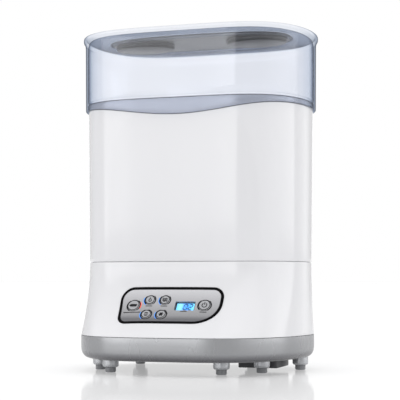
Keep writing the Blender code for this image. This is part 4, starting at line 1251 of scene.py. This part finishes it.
def make_tray():
    rim, floor = COLLAR_TOP - 1.5, 246.5
    profile = [(floor - 2, 19.0, 0), (floor, 17.2, 1), (rim, 14.6, 0.5), (rim, 9.5, 0.4)]
    profile += [(rim + 1.3, 9.5, 0.4), (rim + 1.3, 16.2, 1), (floor + 2, 18.9, 1), (floor, 20.7, 0)]
    shell = shell_of(on_stack(profile), closed=False)
    slots = []
    for index in range(9):
        x = (index - 4) * 20
        slots.append(((x - 3, -34, floor - 5), (x + 3, 34, floor + 5)))
    mesh = carved(shell, ("DIFFERENCE", boxes(slots, 1.5)))
    piece("teat_tray", mesh, "tray", "tray_clear_grey", ["upper_tray"])


# ---------------------------------------------------------------- the lid


def make_lid():
    rest = COLLAR_TOP + 0.3
    profile = on_stack([(WAVE_LOW, 2.8, 1.0)], WAVE_RISE)
    profile += on_stack([(354, 2.2, 4), (357.4, 1.4, 1.5), (359.2, 0, 1.6), (362.6, 0, 1.5)])
    profile += on_stack([(363.2, 1.6, 0.8), (363.2, 2.6, 0.7), (361.9, 4.2, 1.0)])
    rebate = [(361.9, -0.6, 0.4), (359.8, -0.6, 0.3), (359.8, 3.0, 0.3), (358.0, 3.0, 0.5)]
    rebate += [(358.0, -2.6, 0.6), (359.9, -2.6, 0.8)]
    profile += [(z, inset, radius, insert_ring, 0) for z, inset, radius in rebate]
    profile += on_stack([(359.9, 12.0, 0), (359.0, 7.4, 2.5), (356.4, 5.2, 2.5), (350, 4.6, 3)])
    profile += on_stack([(rest + 3, 5.0, 0.6), (rest + 2, 8.0, 0.8), (rest, 8.0, 0.8)])
    profile += on_stack([(rest, 5.0, 0.4)])
    profile += on_stack([(WAVE_LOW, 5.0, 1.0)], WAVE_RISE)
    mesh = shell_of(profile)
    piece("lid_dome", mesh, "lid", "clear_lid", ["lid_cover"])


def make_lid_insert():
    low, top = 360.1, INSERT_TOP
    rows = [(low, 0.4), (low + 0.4, 0), (top - 0.4, 0), (top, 0.4)]
    plate = loft([insert_ring(z * MM, inset * MM) for z, inset in rows], closed=False)
    steps = []
    for side in (-1, 1):
        cup = [(low + 1, 0), (WELL_BOTTOM + 1.4, 0.2), (WELL_BOTTOM + 0.4, 0.9), (WELL_BOTTOM, 2.2)]
        steps.append(("UNION", bowl(side * WELL_X, WELL_RADII, cup)))
    for side in (-1, 1):
        floor = WELL_BOTTOM + 1.6
        hollow = [(top + 5, 0.9), (top, 0.9), (top - 0.6, 1.6)]
        hollow += [(floor + 1.2, 1.7), (floor + 0.3, 2.3), (floor, 3.4)]
        steps.append(("DIFFERENCE", bowl(side * WELL_X, WELL_RADII, hollow)))
    vents = [(x, 37, 1.6, low - 5, top + 5) for x in (-14, -9, 9, 14)]
    steps.append(("DIFFERENCE", rounds(vents, 24)))
    mesh = carved(plate, *steps)
    piece("lid_insert", mesh, "lid", "dark_grey", ["lid_handle"])
    rows = ((0.0, 0.3), (0.3, 0), (0.8, 0), (1.15, 0.3), (1.3, 1.2))
    rows = [(INSERT_TOP + 0.2 + rise, inset) for rise, inset in rows]
    piece("lid_pad", stepped_block(38, 68, 6, rows), "lid", "dark_grey", ["lid_grip"])


# ---------------------------------------------------------------- studio


def make_world():
    """A pale studio: even light from above and upright soft boxes all round, over a white sweep."""
    world = bpy.data.worlds.new("studio")
    bpy.context.scene.world = world
    world.use_nodes = True
    tree = world.node_tree
    across, along, up = (coordinate(tree, axis, "Generated") for axis in "XYZ")
    turn = worked_out(tree, "ARCTAN2", across, worked_out(tree, "MULTIPLY", along, -1))
    brightest = max(level for _, level in LIGHT_ROUND)
    stops = [((way + 180) / 360, (level / brightest,) * 3) for way, level in LIGHT_ROUND]
    share = spread(tree, turn, 0.0, 1.0, -math.pi, math.pi)
    ring = blend_colours(tree, share, stops)
    height = spread(tree, up, 1.0, 0.0, 0.30, 0.55)
    ceiling = CEILING_LIGHT / brightest
    reflected = mixed_colour(tree, height, (ceiling, ceiling, ceiling * 1.01), ring)
    # What falls on matt surfaces is softer: dim near the horizon and brighter overhead.
    overhead = spread(tree, up, 0.0, 1.0, 0.0, 1.0)
    stops = ((0.0, (HORIZON_LIGHT / brightest,) * 3), (1.0, (OVERHEAD_LIGHT / brightest,) * 3))
    soft = blend_colours(tree, overhead, stops)
    ray = tree.nodes.new("ShaderNodeLightPath")
    lit = mixed_colour(tree, ray.outputs["Is Diffuse Ray"], reflected, soft)
    studio = tree.nodes["Background"]
    studio.inputs["Strength"].default_value = brightest
    tree.links.new(lit, studio.inputs["Color"])
    backdrop = tree.nodes.new("ShaderNodeBackground")
    backdrop.inputs["Color"].default_value = (1, 1, 1, 1)
    light, white = studio.outputs["Background"], backdrop.outputs["Background"]
    seen = mixed_shader(tree, ray.outputs["Is Camera Ray"], light, white)
    tree.links.new(seen, tree.nodes["World Output"].inputs["Surface"])


def make_floor():
    work = bmesh.new()
    bmesh.ops.create_circle(work, cap_ends=True, segments=96, radius=40)
    floor = linked("floor", mesh_from(work, "floor"))
    floor.location.z = -0.0002
    material, tree, shader = new_material("floor", 0.5, ior=1.0)
    uneven = noise(tree, 3, 2.0)
    tone_by(tree, shader, uneven, (0.3, (0.49, 0.49, 0.495)), (0.7, (0.51, 0.51, 0.515)))
    shader.inputs["Emission Color"].default_value = (1, 1, 1, 1)
    shader.inputs["Emission Strength"].default_value = 0.44
    gloss = tree.nodes.new("ShaderNodeBsdfGlossy")
    gloss.inputs["Roughness"].default_value = 0.09
    mix = mixed_shader(tree, 0.32, shader.outputs["BSDF"], gloss.outputs["BSDF"])
    # Seen from below the floor is clear, so that the underside can be looked at.
    side = tree.nodes.new("ShaderNodeNewGeometry")
    clear = tree.nodes.new("ShaderNodeBsdfTransparent")
    either = mixed_shader(tree, side.outputs["Backfacing"], mix, clear.outputs["BSDF"])
    tree.links.new(either, tree.nodes["Material Output"].inputs["Surface"])
    floor.data.materials.append(material)


def make_camera():
    data = bpy.data.cameras.new("camera")
    data.lens = CAMERA_LENS
    data.shift_x = CAMERA_SHIFT_X
    data.shift_y = CAMERA_SHIFT_Y
    camera = linked("camera", data)
    x = CAMERA_DISTANCE * math.sin(CAMERA_TURN)
    y = AXIS_Y - CAMERA_DISTANCE * math.cos(CAMERA_TURN)
    camera.location = (x, y, CAMERA_HEIGHT)
    camera.rotation_euler = (math.pi / 2 + CAMERA_PITCH, 0, CAMERA_TURN)
    bpy.context.scene.camera = camera


make_camera()
make_base_housing()
make_bottom_cover()
make_feet()
make_case_screws()
make_filter_cover()
make_deck()
make_bezel()
make_face()
make_buttons()
make_panel_marks()
make_display()
make_sleeve()
make_collar()
# Painted shade along the collar's seams.
make_collar_seam_shade()
make_rack()
make_tray()
make_lid()
make_lid_insert()
make_world()
make_floor()
bpy.context.scene.view_settings.view_transform = "Standard"
